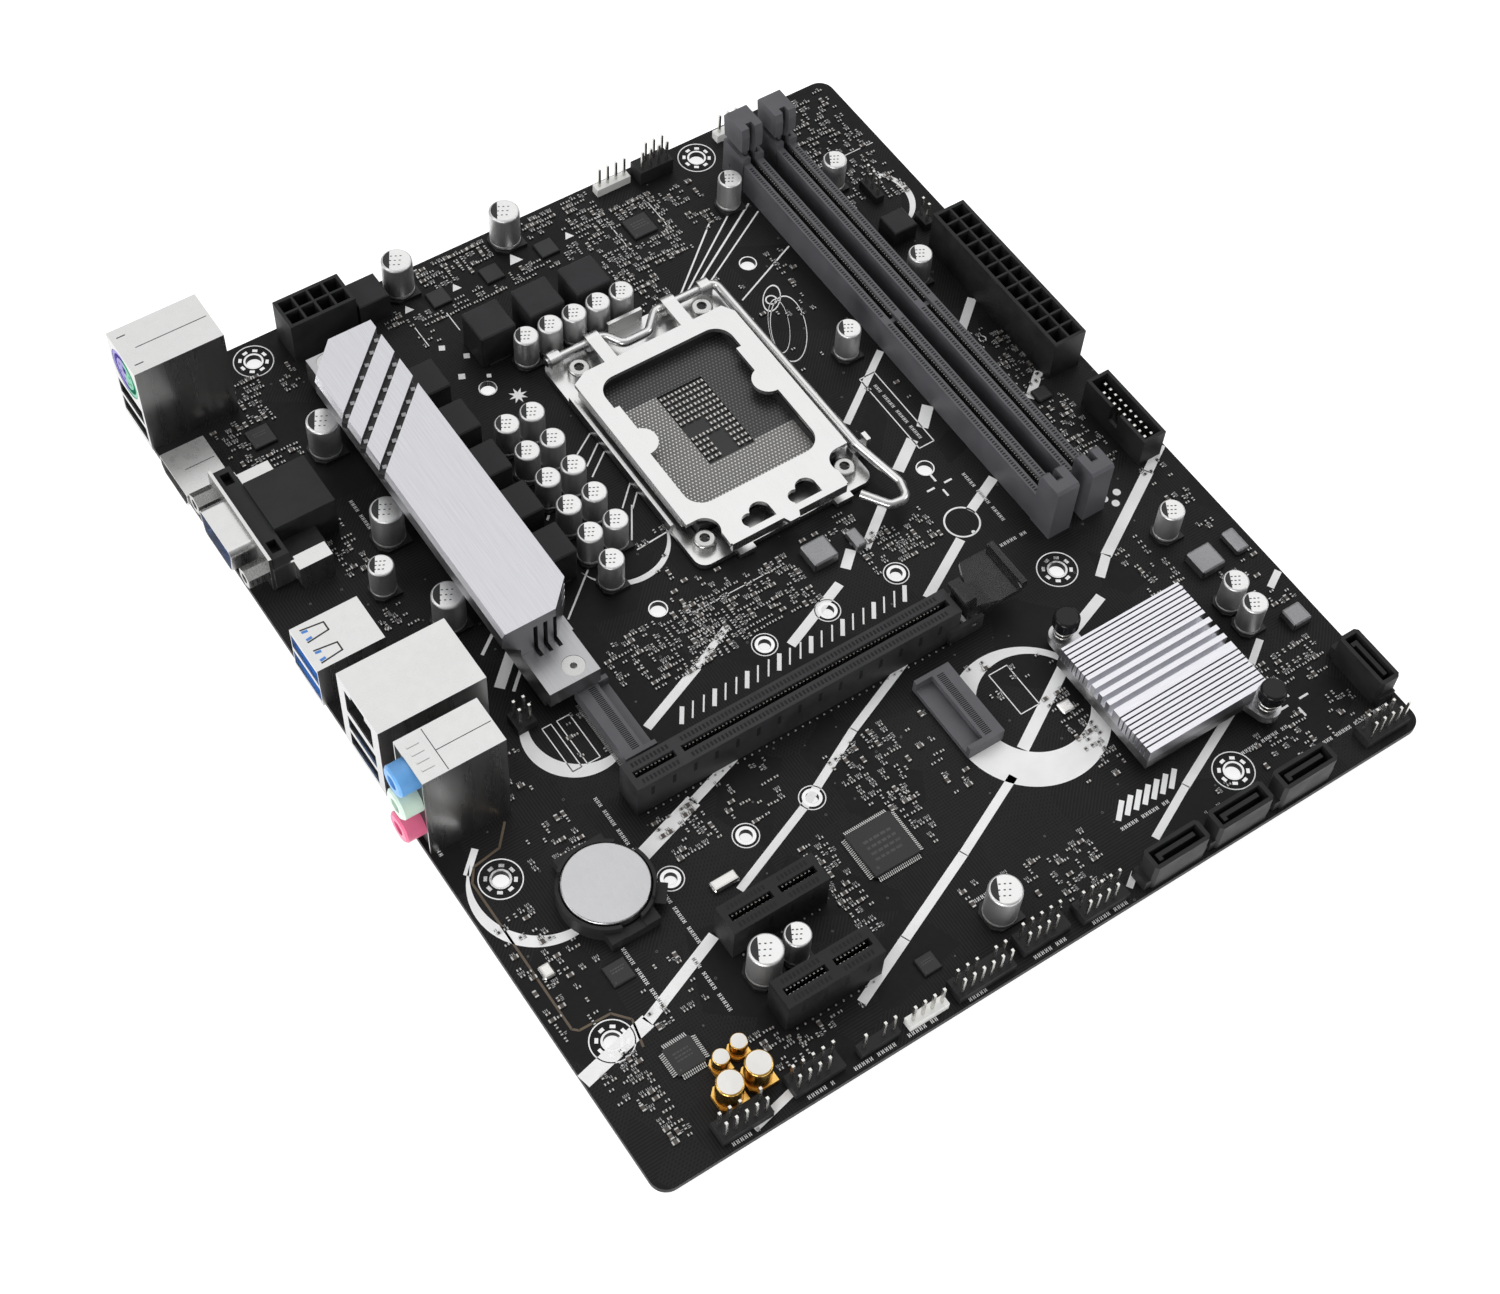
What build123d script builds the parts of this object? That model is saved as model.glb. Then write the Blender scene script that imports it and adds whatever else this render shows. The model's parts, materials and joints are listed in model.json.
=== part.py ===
from build123d import *
import os

# Micro-ATX motherboard, in millimetres.
# The shapes are drawn in board coordinates: X runs from the rear edge, where the ports are, to the
# front edge, Y from the card-slot edge to the processor-power edge, and Z up from the component side.
# save() moves them to the object's own frame: origin midway between the two middle stand-off holes,
# on the underside of the board.

# --- the board and its hole pattern ---
BOARD_X, BOARD_Y, BOARD_T = 211.0, 244.0, 1.6
BOARD_CORNER_R = 4.0
CASE_HOLE_R = 1.98
CASE_HOLES = [(33.02, 237.65), (165.1, 237.65), (10.16, 80.17), (165.1, 80.17)]
CASE_HOLES += [(10.16, 34.45), (165.1, 14.13)]
COOLER_HOLE_R = 2.0
COOLER_CENTRE = (117.0, 160.6)
COOLER_PITCH = 78.0
M2_HOLE_R = 1.5
M2_UPPER_HOLES = [(93.6, 99.9), (111.6, 99.9), (131.6, 99.9)]
M2_LOWER_HOLES = [(79.6, 60.2), (61.6, 60.2), (41.6, 60.2)]
ORIGIN_X = (CASE_HOLES[2][0] + CASE_HOLES[3][0]) / 2
ORIGIN_Y = CASE_HOLES[2][1]

# --- sheet and running clearances ---
CAN_WALL = 0.4
RUN_GAP = 0.06

# --- rear ports: (low, high) pairs along X, Y and Z ---
PS2_CAN = ((-0.5, 22.8), (226.0, 240.9), (0.0, 28.5))
PS2_FACE_R, PS2_FACE_Z = 6.4, 21.2
HDMI_CAN = ((-1.3, 10.2), (204.6, 218.8), (0.0, 6.3))
VGA_BODY = ((10.0, 26.0), (181.0, 196.5), (0.0, 12.5))
VGA_BAR = ((5.4, 10.0), (174.0, 203.5), (0.0, 11.6))
VGA_FLANGE = ((4.6, 5.4), (173.7, 203.9), (0.3, 12.5))
VGA_MID_Y, VGA_MID_Z = 188.8, 6.6
VGA_JACK_PITCH = 25.0
VGA_EAR_H = 8.0
USB3_CAN = ((-0.9, 16.4), (140.0, 153.2), (0.0, 14.5))
LAN_CAN = ((-0.5, 26.6), (111.7, 130.0), (0.0, 26.8))
LAN_SOCKET = ((-0.6, 13.5), (115.0, 126.9), (15.8, 24.0))
AUDIO_CAN = ((0.4, 21.0), (93.6, 106.0), (0.0, 31.0))
AUDIO_JACK_Z = {"pink": 6.6, "green": 16.8, "blue": 26.6}
AUDIO_RING_R, AUDIO_BORE_R = 3.9, 1.8
AUDIO_MARK_H = 0.15
USB_OPEN_Y, USB_OPEN_Z = 12.5, 5.1
USB_DEPTH = 11.5
PS2_USB_Z, USB3_Z, LAN_USB_Z = (4.4, 11.0), (3.9, 10.6), (4.0, 10.8)

# --- power and front-panel connectors ---
CELL_PITCH = 4.2
POWER_H = 13.0
POWER_PIN_Z = (3.4, 7.6)
CPU_POWER_AT = (41.9, 231.9)
MAIN_POWER_AT = (199.0, 127.6)
USB3_HEADER = ((201.4, 208.2), (94.2, 117.2), (0.0, 9.0))
PIN_PITCH = 2.54
PIN_SIDE = 0.64
PIN_BASE_H, TALL_BASE_H = 2.5, 4.4
PIN_RISE = 6.2
# each header: first pin, pins along X, pins along Y, pins left out
PIN_HEADERS = {
    "front_audio": ((18.0, 3.2), 5, 2, [(3, 1)]),
    "serial": ((36.6, 3.6), 5, 2, [(4, 0)]),
    "digital_audio": ((53.4, 3.6), 4, 1, [(1, 0)]),
    "security": ((78.6, 2.6), 6, 2, [(3, 1)]),
    "usb_left": ((97.0, 3.8), 5, 2, [(4, 0)]),
    "usb_right": ((112.8, 2.8), 5, 2, [(4, 0)]),
    "front_panel": ((196.4, 3.2), 5, 2, [(4, 1)]),
    "light_strip": ((148.3, 238.3), 4, 2, [(0, 1)]),
    "speaker": ((197.4, 200.0), 1, 3, []),
    "clear": ((203.0, 185.6), 1, 2, []),
    "intrusion": ((33.6, 110.6), 2, 2, []),
}
FAN_HEADERS = [((136.4, 240.6), 4), ((174.0, 240.4), 3), ((65.9, 3.1), 4)]

# --- memory slots ---
DIMM_X = (171.9, 182.4)
DIMM_W, DIMM_H = 6.5, 9.4
DIMM_Y = (88.4, 231.0)
DIMM_TOWER_L, DIMM_TOWER_H = 7.2, 17.8
DIMM_LATCH_AXIS = (226.6, 4.2)
DIMM_LATCH_TOP = 20.6
DIMM_SLOT_W = 1.9

# --- processor socket ---
SHAFT_Y, SHAFT_Z, SHAFT_R = 195.3, 5.0, 1.2
FRAME_X, FRAME_Y, FRAME_Z = (92.0, 142.6), (124.6, 197.4), (0.5, 2.1)
FRAME_SCREWS = [(98.9, 190.3), (135.7, 190.8), (96.7, 130.3), (137.3, 130.1)]
PLATE_Z = (6.0, 7.2)
PLATE_X, PLATE_TOP_Y = (93.9, 140.6), 186.4
PLATE_EARS_X = ((104.0, 107.6), (126.5, 130.1))
WINDOW_CENTRE, WINDOW_SIZE = (116.9, 159.3), (37.4, 44.6)
NOTCHES_X = (105.6, 118.9)
SOCKET_X, SOCKET_Y, SOCKET_H = (97.0, 137.0), (133.2, 186.2), 5.4
FIELD_Z = (2.6, 3.2)

# --- card slots ---
CARD_SLOT_H, CARD_SLOT_W, CARD_SLOT_GAP = 11.2, 7.5, 1.8
X16_AT, X16_L = (44.0, 81.2), 89.0
X1_UPPER_AT, X1_LOWER_AT, X1_L = (42.4, 40.6), (42.4, 20.0), 25.0
CARD_KEY_FROM_END, CARD_KEY_W = 13.2, 1.9
CARD_LATCH_AXIS = (137.4, 3.0)
M2_UPPER_X, M2_LOWER_X = (48.2, 56.6), (115.4, 125.2)
M2_W, M2_H = 21.9, 4.2

# --- cooling ---
SINK_X, SINK_Y, SINK_TOP = (36.3, 56.6), (121.8, 217.0), 22.0
SINK_BASE_X, SINK_BASE_Y, SINK_BASE_Z = (41.0, 54.4), (109.4, 223.4), (2.2, 10.0)
CHIP_SINK_X, CHIP_SINK_Y, CHIP_SINK_Z = (147.0, 181.9), (24.6, 57.7), (2.4, 9.4)
CHIP_FINE_PITCH, CHIP_WIDE_PITCH = 1.34, 2.67
CHIP_FINE_GROOVE, CHIP_WIDE_GROOVE = 0.4, 1.3
CHIP_PINS = [(152.3, 62.7), (180.3, 21.6)]

# --- coin cell ---
CELL_AT, CELL_R, CELL_Z = (27.6, 64.6), 10.0, (2.3, 5.5)
HOLDER_R, HOLDER_H = 11.2, 4.9

# --- data ports ---
SATA_L, SATA_W, SATA_H = 15.6, 5.6, 9.0
SATA_FLAT = [(137.4, 3.4), (155.9, 3.4), (174.9, 3.4)]
SATA_EDGE = (206.9, 17.6)

# --- parts soldered to the board ---
CHOKE_SIDE, CHOKE_H = 10.0, 11.0
CHOKES = [(85.2, 210.5), (99.4, 210.5), (113.0, 210.5)] + [(62.0, 202.5 - 14.5 * n) for n in range(5)]
POLYMER_R, POLYMER_H = 3.15, 10.5
POLYMERS = [(90.6 + 6.95 * n, 201.6) for n in range(5)]
POLYMERS += [(x, 180.5 - 9.45 * n) for n in range(5) for x in (72.4, 79.5)] + [(72.6, 133.6)]
POLYMERS += [(162.8, 218.9), (190.0, 210.1), (190.0, 171.9), (160.1, 161.3)]
POLYMERS += [(193.6, 74.3), (193.4, 50.2), (193.2, 43.0), (54.1, 30.0)]
ELECTROLYTICS = [(75.1, 238.6), (106.6, 238.8), (34.9, 203.7), (34.9, 172.8), (34.9, 144.3), (46.0, 30.2)]
ELECTROLYTICS += [(97.6, 14.0)]
ELECTROLYTIC_R, ELECTROLYTIC_H = 4.0, 11.8
# each audio capacitor: X, Y, radius, height
AUDIO_CAPS = [(31.4, 11.0, 3.15, 7.7), (23.9, 10.6, 3.15, 7.7)]
AUDIO_CAPS += [(31.2, 18.1, 2.0, 5.4), (26.1, 17.2, 2.0, 5.4)]


def block(x, y, z):
    middle = Pos((x[0] + x[1]) / 2, (y[0] + y[1]) / 2, (z[0] + z[1]) / 2)
    return middle * Box(x[1] - x[0], y[1] - y[0], z[1] - z[0])


def post(x, y, z, radius):
    return Pos(x, y, (z[0] + z[1]) / 2) * Cylinder(radius, z[1] - z[0])


def slab(outline, z):
    # a flat piece: its outline in X and Y, raised from z[0] to z[1]
    return Pos(0, 0, z[0]) * extrude(Polygon(*outline, align=None), z[1] - z[0], dir=(0, 0, 1))


def bar_x(outline, x):
    # a bar along X with its outline in Y and Z
    start = Plane(origin=(x[0], 0, 0), x_dir=(0, 1, 0), z_dir=(1, 0, 0))
    return start * extrude(Polygon(*outline, align=None), x[1] - x[0], dir=(0, 0, 1))


def bar_y(outline, y):
    # a bar along Y with its outline in X and Z
    start = Plane(origin=(0, y[0], 0), x_dir=(0, 0, 1), z_dir=(0, 1, 0))
    return start * extrude(Polygon(*[(z, x) for x, z in outline], align=None), y[1] - y[0], dir=(0, 0, 1))


def rod_x(x, y, z, radius):
    return Pos((x[0] + x[1]) / 2, y, z) * Rot(0, 90, 0) * Cylinder(radius, x[1] - x[0])


def rod_y(y, x, z, radius):
    return Pos(x, (y[0] + y[1]) / 2, z) * Rot(90, 0, 0) * Cylinder(radius, y[1] - y[0])


def grown(span, by):
    return (span[0] - by, span[1] + by)


def save(name, *shapes):
    to_frame = Pos(-ORIGIN_X, -ORIGIN_Y, BOARD_T)
    solids = [solid for shape in shapes for solid in (to_frame * shape).solids()]
    whole = solids[0] if len(solids) == 1 else Compound(solids)
    export_step(whole, f"parts/{name}.step")


# ---------- the board ----------

def circuit_board():
    board = Pos(BOARD_X / 2, BOARD_Y / 2, -BOARD_T) * extrude(
        RectangleRounded(BOARD_X, BOARD_Y, BOARD_CORNER_R), BOARD_T)
    through = (-BOARD_T - 1, 1)
    half = COOLER_PITCH / 2
    for x, y in CASE_HOLES:
        board -= post(x, y, through, CASE_HOLE_R)
    for side_x in (-half, half):
        for side_y in (-half, half):
            board -= post(COOLER_CENTRE[0] + side_x, COOLER_CENTRE[1] + side_y, through, COOLER_HOLE_R)
    for x, y in M2_UPPER_HOLES + M2_LOWER_HOLES:
        board -= post(x, y, through, M2_HOLE_R)
    return board


# ---------- rear ports ----------

def port_can(can, openings):
    # a folded metal can, open towards the board, with an opening in its rear face for each plug
    x, y, z = can
    shell = block(x, y, z)
    shell -= block((x[0] + CAN_WALL, x[1] - CAN_WALL), grown(y, -CAN_WALL), (z[0] - 1, z[1] - CAN_WALL))
    for opening_y, opening_z in openings:
        shell -= block((x[0] - 1, x[0] + 1), opening_y, opening_z)
    return shell


def port_core(can, pockets, tongues):
    # the moulded insert of a port: a filled can with a pocket for each plug and a tongue inside the pocket
    x, y, z = can
    core = block((core_face(can), x[1] - CAN_WALL), grown(y, -CAN_WALL), (z[0], z[1] - CAN_WALL))
    for pocket in pockets:
        core -= block(*pocket)
    for tongue in tongues:
        core += block(*tongue)
    return core


def core_face(can):
    return can[0][0] + CAN_WALL + 0.1


def usb_opening(mid_y, mid_z):
    half_y, half_z = USB_OPEN_Y / 2, USB_OPEN_Z / 2
    return (mid_y - half_y, mid_y + half_y), (mid_z - half_z, mid_z + half_z)


def usb_pocket(face_x, mid_y, mid_z):
    opening_y, opening_z = usb_opening(mid_y, mid_z)
    return (face_x - 1, face_x + USB_DEPTH), opening_y, opening_z


def usb_tongue(face_x, mid_y, mid_z):
    # the contact blade, against the upper half of the pocket
    return (face_x + 1.2, face_x + USB_DEPTH + 0.5), (mid_y - 5.6, mid_y + 5.6), (mid_z - 0.1, mid_z + 1.8)


def usb_stack(can, levels):
    # openings, pockets and tongues of the USB ports stacked in one can
    mid_y = sum(can[1]) / 2
    face_x = core_face(can)
    openings = [usb_opening(mid_y, level) for level in levels]
    pockets = [usb_pocket(face_x, mid_y, level) for level in levels]
    tongues = [usb_tongue(face_x, mid_y, level) for level in levels]
    return openings, pockets, tongues


def ps2_usb_stack():
    can = PS2_CAN
    mid_y = sum(can[1]) / 2
    openings, pockets, tongues = usb_stack(can, PS2_USB_Z)
    core = port_core(can, pockets, tongues)
    core -= rod_x((-1, 2.0), mid_y, PS2_FACE_Z, PS2_FACE_R)
    shield = port_can(can, openings)
    shield -= rod_x((-1, 0.2), mid_y, PS2_FACE_Z, PS2_FACE_R + 0.1)
    face = rod_x((-0.4, 2.0), mid_y, PS2_FACE_Z, PS2_FACE_R)
    ring = rod_x((-1, 1.6), mid_y, PS2_FACE_Z, PS2_FACE_R - 1.0)
    face -= ring - rod_x((-1, 1.6), mid_y, PS2_FACE_Z, PS2_FACE_R - 2.2)
    # six round contacts and the square key between them
    contacts = [(side * 2.6, rise) for side in (-1, 1) for rise in (1.2, -1.4)]
    contacts += [(-1.0, -2.6), (1.0, -2.6)]
    for step_y, step_z in contacts:
        face -= rod_x((-1, 1.2), mid_y + step_y, PS2_FACE_Z + step_z, 0.45)
    face -= block((-1, 1.2), (mid_y - 0.9, mid_y + 0.9), (PS2_FACE_Z + 0.2, PS2_FACE_Z + 2.4))
    save("ps2_usb_shield", shield)
    save("ps2_usb_core", core)
    save("ps2_socket_face", face)


def hdmi_outline(y, low, high, shoulder, taper):
    # a box with its two lower corners cut off
    return [(y[0], low + shoulder), (y[0], high), (y[1], high), (y[1], low + shoulder),
            (y[1] - taper, low), (y[0] + taper, low)]


def hdmi_port():
    x, y, z = HDMI_CAN
    low = 0.9
    wall = CAN_WALL
    shell = bar_x(hdmi_outline(y, low, z[1], 2.2, 1.4), x)
    inner = hdmi_outline(grown(y, -wall), low + wall, z[1] - wall, 2.0, 1.2)
    shell -= bar_x(inner, (x[0] - 1, x[1] - wall))
    for leg_y in (y[0] + 0.2, y[1] - 0.6):
        for leg_x in (1.6, 7.6):
            shell += block((leg_x, leg_x + 1.4), (leg_y, leg_y + wall), (0, low + 3.0))
    mid_y = (y[0] + y[1]) / 2
    insert = block((7.4, x[1] - wall), (mid_y - 5.4, mid_y + 5.4), (low + wall, z[1] - wall))
    insert += block((0.4, 7.4), (mid_y - 5.0, mid_y + 5.0), (3.2, 4.4))
    save("hdmi_shell", shell)
    save("hdmi_tongue", insert)


def vga_mouth(spread, rise, x, corner):
    # the D-shaped bar, wider along its top edge, with rounded corners
    top, foot = 7.6 + spread, 6.2 + spread
    outline = [(VGA_MID_Y - top, VGA_MID_Z + rise), (VGA_MID_Y + top, VGA_MID_Z + rise),
               (VGA_MID_Y + foot, VGA_MID_Z - rise), (VGA_MID_Y - foot, VGA_MID_Z - rise)]
    mouth = bar_x(outline, x)
    return fillet(mouth.edges().filter_by(Axis.X), corner)


def vga_ears():
    # the folded sheet at both ends of the flange: round the end of the bar and back along the body
    bar_end, body_x, top = 10.6, (11.0, 19.3), VGA_EAR_H
    wall = CAN_WALL
    ears = block(body_x, (170.7, 170.7 + wall), (0, top))
    ears += block(body_x, (170.7, 174.9), (top - wall, top))
    ears += block((5.4, 11.0), (173.5, 174.0), (1.0, top))
    ears += block((bar_end, 11.0), (170.7, 174.0), (1.0, top))
    ears += block(body_x, (202.4, 202.4 + wall), (0, top))
    ears += block(body_x, (199.2, 202.8), (top - wall, top))
    ears += block((bar_end, 11.0), (202.4, 203.9), (1.0, top))
    ears += block((5.4, 11.0), (203.5, 203.9), (1.0, top))
    return ears


def vga_port():
    flange_x = VGA_FLANGE[0]
    body = block(*VGA_BODY) + block(*VGA_BAR) + block((10, 20), (174.9, 202.4), (0, 6.6))
    for span in ((175.6, 179.2), (198.4, 202.0)):
        body -= block((6.6, 9.0), span, (8.6, 20))
    shell = block(*VGA_FLANGE)
    shell += vga_mouth(0.6, 4.2, (-1.6, flange_x[0]), 1.6)
    shell -= vga_mouth(0.2, 3.8, (-2, flange_x[1] + 1), 1.2)
    for side in (-1, 1):
        shell -= rod_x((4, 6), VGA_MID_Y + side * VGA_JACK_PITCH / 2, VGA_MID_Z, 1.6)
    shell += vga_ears()
    insert = vga_mouth(-0.4, 3.2, (1.4, flange_x[1]), 1.0)
    for row, z in enumerate((2.0, 0, -2.0)):
        for column in range(5):
            y = VGA_MID_Y + (column - 2) * 2.3 + (0.5 if row == 1 else 0)
            insert -= rod_x((0, 4.0), y, VGA_MID_Z + z, 0.5)
    screws = []
    for side in (-1, 1):
        y = VGA_MID_Y + side * VGA_JACK_PITCH / 2
        hexagon = extrude(RegularPolygon(2.75, 6), flange_x[0] + 1.0)
        nut = Pos(-1.0, y, VGA_MID_Z) * Rot(0, 90, 0) * hexagon
        nut -= rod_x((-2, 3.6), y, VGA_MID_Z, 1.3)
        nut += rod_x((flange_x[0] - 0.5, 9.0), y, VGA_MID_Z, 1.55)
        body -= rod_x((4, 9.0), y, VGA_MID_Z, 1.55)
        screws.append(nut)
    save("vga_housing", body)
    save("vga_shell", shell)
    save("vga_insert", insert)
    save("vga_jack_screws", *screws)


def usb3_stack():
    openings, pockets, tongues = usb_stack(USB3_CAN, USB3_Z)
    save("usb3_pair_shield", port_can(USB3_CAN, openings))
    save("usb3_pair_core", port_core(USB3_CAN, pockets, tongues))


def network_stack():
    can = LAN_CAN
    mid_y = sum(can[1]) / 2
    socket_x, socket_y, socket_z = LAN_SOCKET
    openings, pockets, tongues = usb_stack(can, LAN_USB_Z)
    # the way for the plug's latch, above the socket, and the comb of contacts at its back
    latch_y, latch_z = (mid_y - 3.0, mid_y + 3.0), (socket_z[1] - 0.5, socket_z[1] + 1.5)
    latch_way = ((socket_x[0], 9.0), latch_y, latch_z)
    comb = ((11.0, socket_x[1]), (mid_y - 4.6, mid_y + 4.6), (socket_z[0], socket_z[0] + 2.0))
    openings += [(socket_y, socket_z), (latch_y, latch_z)]
    save("lan_usb_shield", port_can(can, openings))
    save("lan_usb_core", port_core(can, pockets + [LAN_SOCKET, latch_way], tongues + [comb]))


def audio_stack():
    x, y, z = AUDIO_CAN
    mid_y = (y[0] + y[1]) / 2
    body = block((1.2, x[1] - CAN_WALL), grown(y, -CAN_WALL), (z[0], z[1] - CAN_WALL))
    for colour, level in AUDIO_JACK_Z.items():
        body -= rod_x((0, 15.0), mid_y, level, AUDIO_BORE_R)
        ring = rod_x((-3.8, 1.2), mid_y, level, AUDIO_RING_R)
        ring = chamfer(ring.faces().sort_by(Axis.X)[0].edges(), 0.5)
        ring -= rod_x((-4, 2), mid_y, level, AUDIO_BORE_R)
        save(f"audio_jack_{colour}", ring)
    cover = block(x, y, z)
    cover -= block((x[0] - 1, x[1] - CAN_WALL), grown(y, -CAN_WALL), (z[0] - 1, z[1] - CAN_WALL))
    # four short stamped bars near the cover's rear end
    for step in (-3.2, -1.0, 1.2, 3.4):
        bar_y = (mid_y + step - 0.35, mid_y + step + 0.35)
        cover += block((x[0] + 1.6, x[0] + 4.6), bar_y, (z[1], z[1] + AUDIO_MARK_H))
    save("audio_body", body)
    save("audio_cover", cover)


# ---------- power and header connectors ----------

def power_connector(at, columns_x, columns_y, latch_side):
    # a two-row power socket: one keyed cell for each contact, with a latch ramp on one long side
    wall = 0.6
    size_x = columns_x * CELL_PITCH + 2 * wall
    size_y = columns_y * CELL_PITCH + 2 * wall
    x, y = (at[0], at[0] + size_x), (at[1], at[1] + size_y)
    housing = block(x, y, (0, POWER_H))
    pins = []
    for i in range(columns_x):
        for j in range(columns_y):
            cx = at[0] + wall + CELL_PITCH * (i + 0.5)
            cy = at[1] + wall + CELL_PITCH * (j + 0.5)
            half = CELL_PITCH / 2 - 0.3
            housing -= block((cx - half, cx + half), (cy - half, cy + half), (POWER_PIN_Z[0], POWER_H + 1))
            pins.append(block((cx - 0.5, cx + 0.5), (cy - 0.5, cy + 0.5), POWER_PIN_Z))
    face, mid = (x[1], sum(y) / 2) if latch_side == "x" else (y[1], sum(x) / 2)
    ramp = [(face, 5.0), (face, 9.4), (face + 1.7, 8.4), (face + 1.7, 7.6)]
    along = (mid - 2.4, mid + 2.4)
    housing += bar_y(ramp, along) if latch_side == "x" else bar_x(ramp, along)
    return housing, pins


def power_connectors():
    cpu, cpu_pins = power_connector(CPU_POWER_AT, 4, 2, "y")
    main, main_pins = power_connector(MAIN_POWER_AT, 2, 12, "x")
    save("cpu_power_connector", cpu)
    save("main_power_connector", main)
    save("power_pins", *cpu_pins, *main_pins)


def usb3_front_header():
    x, y, z = USB3_HEADER
    shroud = block(x, y, z)
    shroud -= block(grown(x, -0.9), grown(y, -0.9), (2.0, z[1] + 1))
    mid = (y[0] + y[1]) / 2
    shroud -= block((x[0] - 1, x[0] + 2), (mid - 1.6, mid + 1.6), (4.0, z[1] + 1))
    save("usb3_front_header", shroud)


def header_pins():
    bases, pins = [], []
    for name, ((x0, y0), nx, ny, missing) in PIN_HEADERS.items():
        base_h = TALL_BASE_H if name == "light_strip" else PIN_BASE_H
        bases.append(header_base(x0, y0, nx, ny, base_h))
        for i in range(nx):
            for j in range(ny):
                if (i, j) not in missing:
                    pins.append(pin_at(x0 + i * PIN_PITCH, y0 + j * PIN_PITCH, base_h, base_h + PIN_RISE))
    for (x0, y0), count in FAN_HEADERS:
        for i in range(count):
            pins.append(pin_at(x0 + i * PIN_PITCH, y0, PIN_BASE_H, PIN_BASE_H + PIN_RISE))
    pitch, mid_x, first_y = 2.0, sum(USB3_HEADER[0]) / 2, USB3_HEADER[1][0] + 2.5
    for i in range(10):
        for side in (-1, 1):
            if (i, side) != (9, -1):
                pins.append(pin_at(mid_x + side * pitch / 2, first_y + i * pitch, 2.0, 7.4))
    save("pin_header_bases", *bases)
    save("pin_header_pins", *pins)


def pin_at(x, y, z0, z1):
    half = PIN_SIDE / 2
    return block((x - half, x + half), (y - half, y + half), (z0, z1))


def header_base(x0, y0, nx, ny, height):
    half = PIN_PITCH / 2
    x = (x0 - half, x0 + (nx - 1) * PIN_PITCH + half)
    y = (y0 - half, y0 + (ny - 1) * PIN_PITCH + half)
    return block(x, y, (0, height))


def fan_headers():
    save("fan_headers", *[header_base(x0, y0, count, 1, PIN_BASE_H) for (x0, y0), count in FAN_HEADERS])


# ---------- memory slots ----------

def dimm_slot(mid_x):
    x = (mid_x - DIMM_W / 2, mid_x + DIMM_W / 2)
    y = DIMM_Y
    slot = block(grown(x, -0.25), (y[0] + 1, y[1] - 8.5), (0, DIMM_H))
    slot -= block((mid_x - DIMM_SLOT_W / 2, mid_x + DIMM_SLOT_W / 2), (y[0] + 4.2, y[1] - 4), (2.0, 30))
    slot += block((mid_x - 1.5, mid_x + 1.5), (158.4, 159.6), (1.5, DIMM_H - 1.2))
    tower = block(x, (y[0], y[0] + DIMM_TOWER_L), (0, DIMM_TOWER_H))
    tower -= block((mid_x - DIMM_SLOT_W / 2, mid_x + DIMM_SLOT_W / 2), (y[0] + 4.2, y[0] + 9), (2.0, 30))
    tower = chamfer(tower.edges().filter_by(Axis.X).group_by(Axis.Z)[-1], 0.7)
    cheek = block(x, (y[1] - 9.6, y[1] - 0.4), (0, 11.4))
    cheek -= block((mid_x - 2.1, mid_x + 2.1), (y[1] - 8.6, y[1] + 1), (0.8, 12))
    cheek -= block((mid_x - DIMM_SLOT_W / 2, mid_x + DIMM_SLOT_W / 2), (y[1] - 10, y[1]), (2.0, 12))
    cheek -= rod_x(grown(x, 1), DIMM_LATCH_AXIS[0], DIMM_LATCH_AXIS[1], 1.0 + RUN_GAP)
    return slot + tower + cheek


def dimm_latch(mid_x):
    # a finger on a cross pin, with a wide thumb pad above the cheeks and a card slot up its inner face
    axis_y, axis_z = DIMM_LATCH_AXIS
    stem = bar_x([(axis_y - 3.4, 2.2), (axis_y + 2.2, 2.2), (axis_y + 3.4, 6.0), (axis_y + 3.6, 14.0),
                  (axis_y - 3.6, 14.0), (axis_y - 3.6, 5.0)], (mid_x - 1.75, mid_x + 1.75))
    head = bar_x([(axis_y - 4.2, 13.2), (axis_y + 3.8, 13.2), (axis_y + 4.6, DIMM_LATCH_TOP - 1.2),
                  (axis_y + 3.8, DIMM_LATCH_TOP), (axis_y - 3.6, DIMM_LATCH_TOP), (axis_y - 4.2, 18.0)],
                 (mid_x - 3.2, mid_x + 3.2))
    pin = rod_x((mid_x - 3.1, mid_x + 3.1), axis_y, axis_z, 1.0)
    card_way = block((mid_x - 0.9, mid_x + 0.9), (axis_y - 6, axis_y - 1.8), (6.0, 30))
    return stem + head + pin - card_way


def memory():
    for number, mid_x in enumerate(DIMM_X, start=1):
        save(f"dimm_slot_{number}", dimm_slot(mid_x))
        save(f"dimm_latch_{number}", dimm_latch(mid_x))


# ---------- processor socket ----------

def window(z):
    # the plate's opening: rounded corners, and on each long side a shoulder and a lobe reaching inwards
    cut = Pos(*WINDOW_CENTRE, z[0]) * extrude(RectangleRounded(*WINDOW_SIZE, 5.0), z[1] - z[0])
    for side in (-1, 1):
        edge = WINDOW_CENTRE[0] + side * WINDOW_SIZE[0] / 2
        cut -= post(edge - side * 0.2, WINDOW_CENTRE[1] + 1.4, z, 4.1)
        inner = edge - side * 1.5
        shoulder = (min(edge, inner) - (side < 0), max(edge, inner) + (side > 0))
        cut -= block(shoulder, (WINDOW_CENTRE[1] + 1.4, WINDOW_CENTRE[1] + 13.6), z)
    return cut


def socket_body():
    body = block(SOCKET_X, SOCKET_Y, (0, SOCKET_H))
    body -= block((98.4, 135.4), (136.6, 182.0), (FIELD_Z[0], SOCKET_H + 1))
    field = block((98.4, 135.4), (136.6, 182.0), FIELD_Z)
    field -= block((110.4, 123.6), (148.6, 172.8), (0, SOCKET_H + 1))
    save("cpu_socket_body", body)
    save("socket_contact_field", field)


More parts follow.
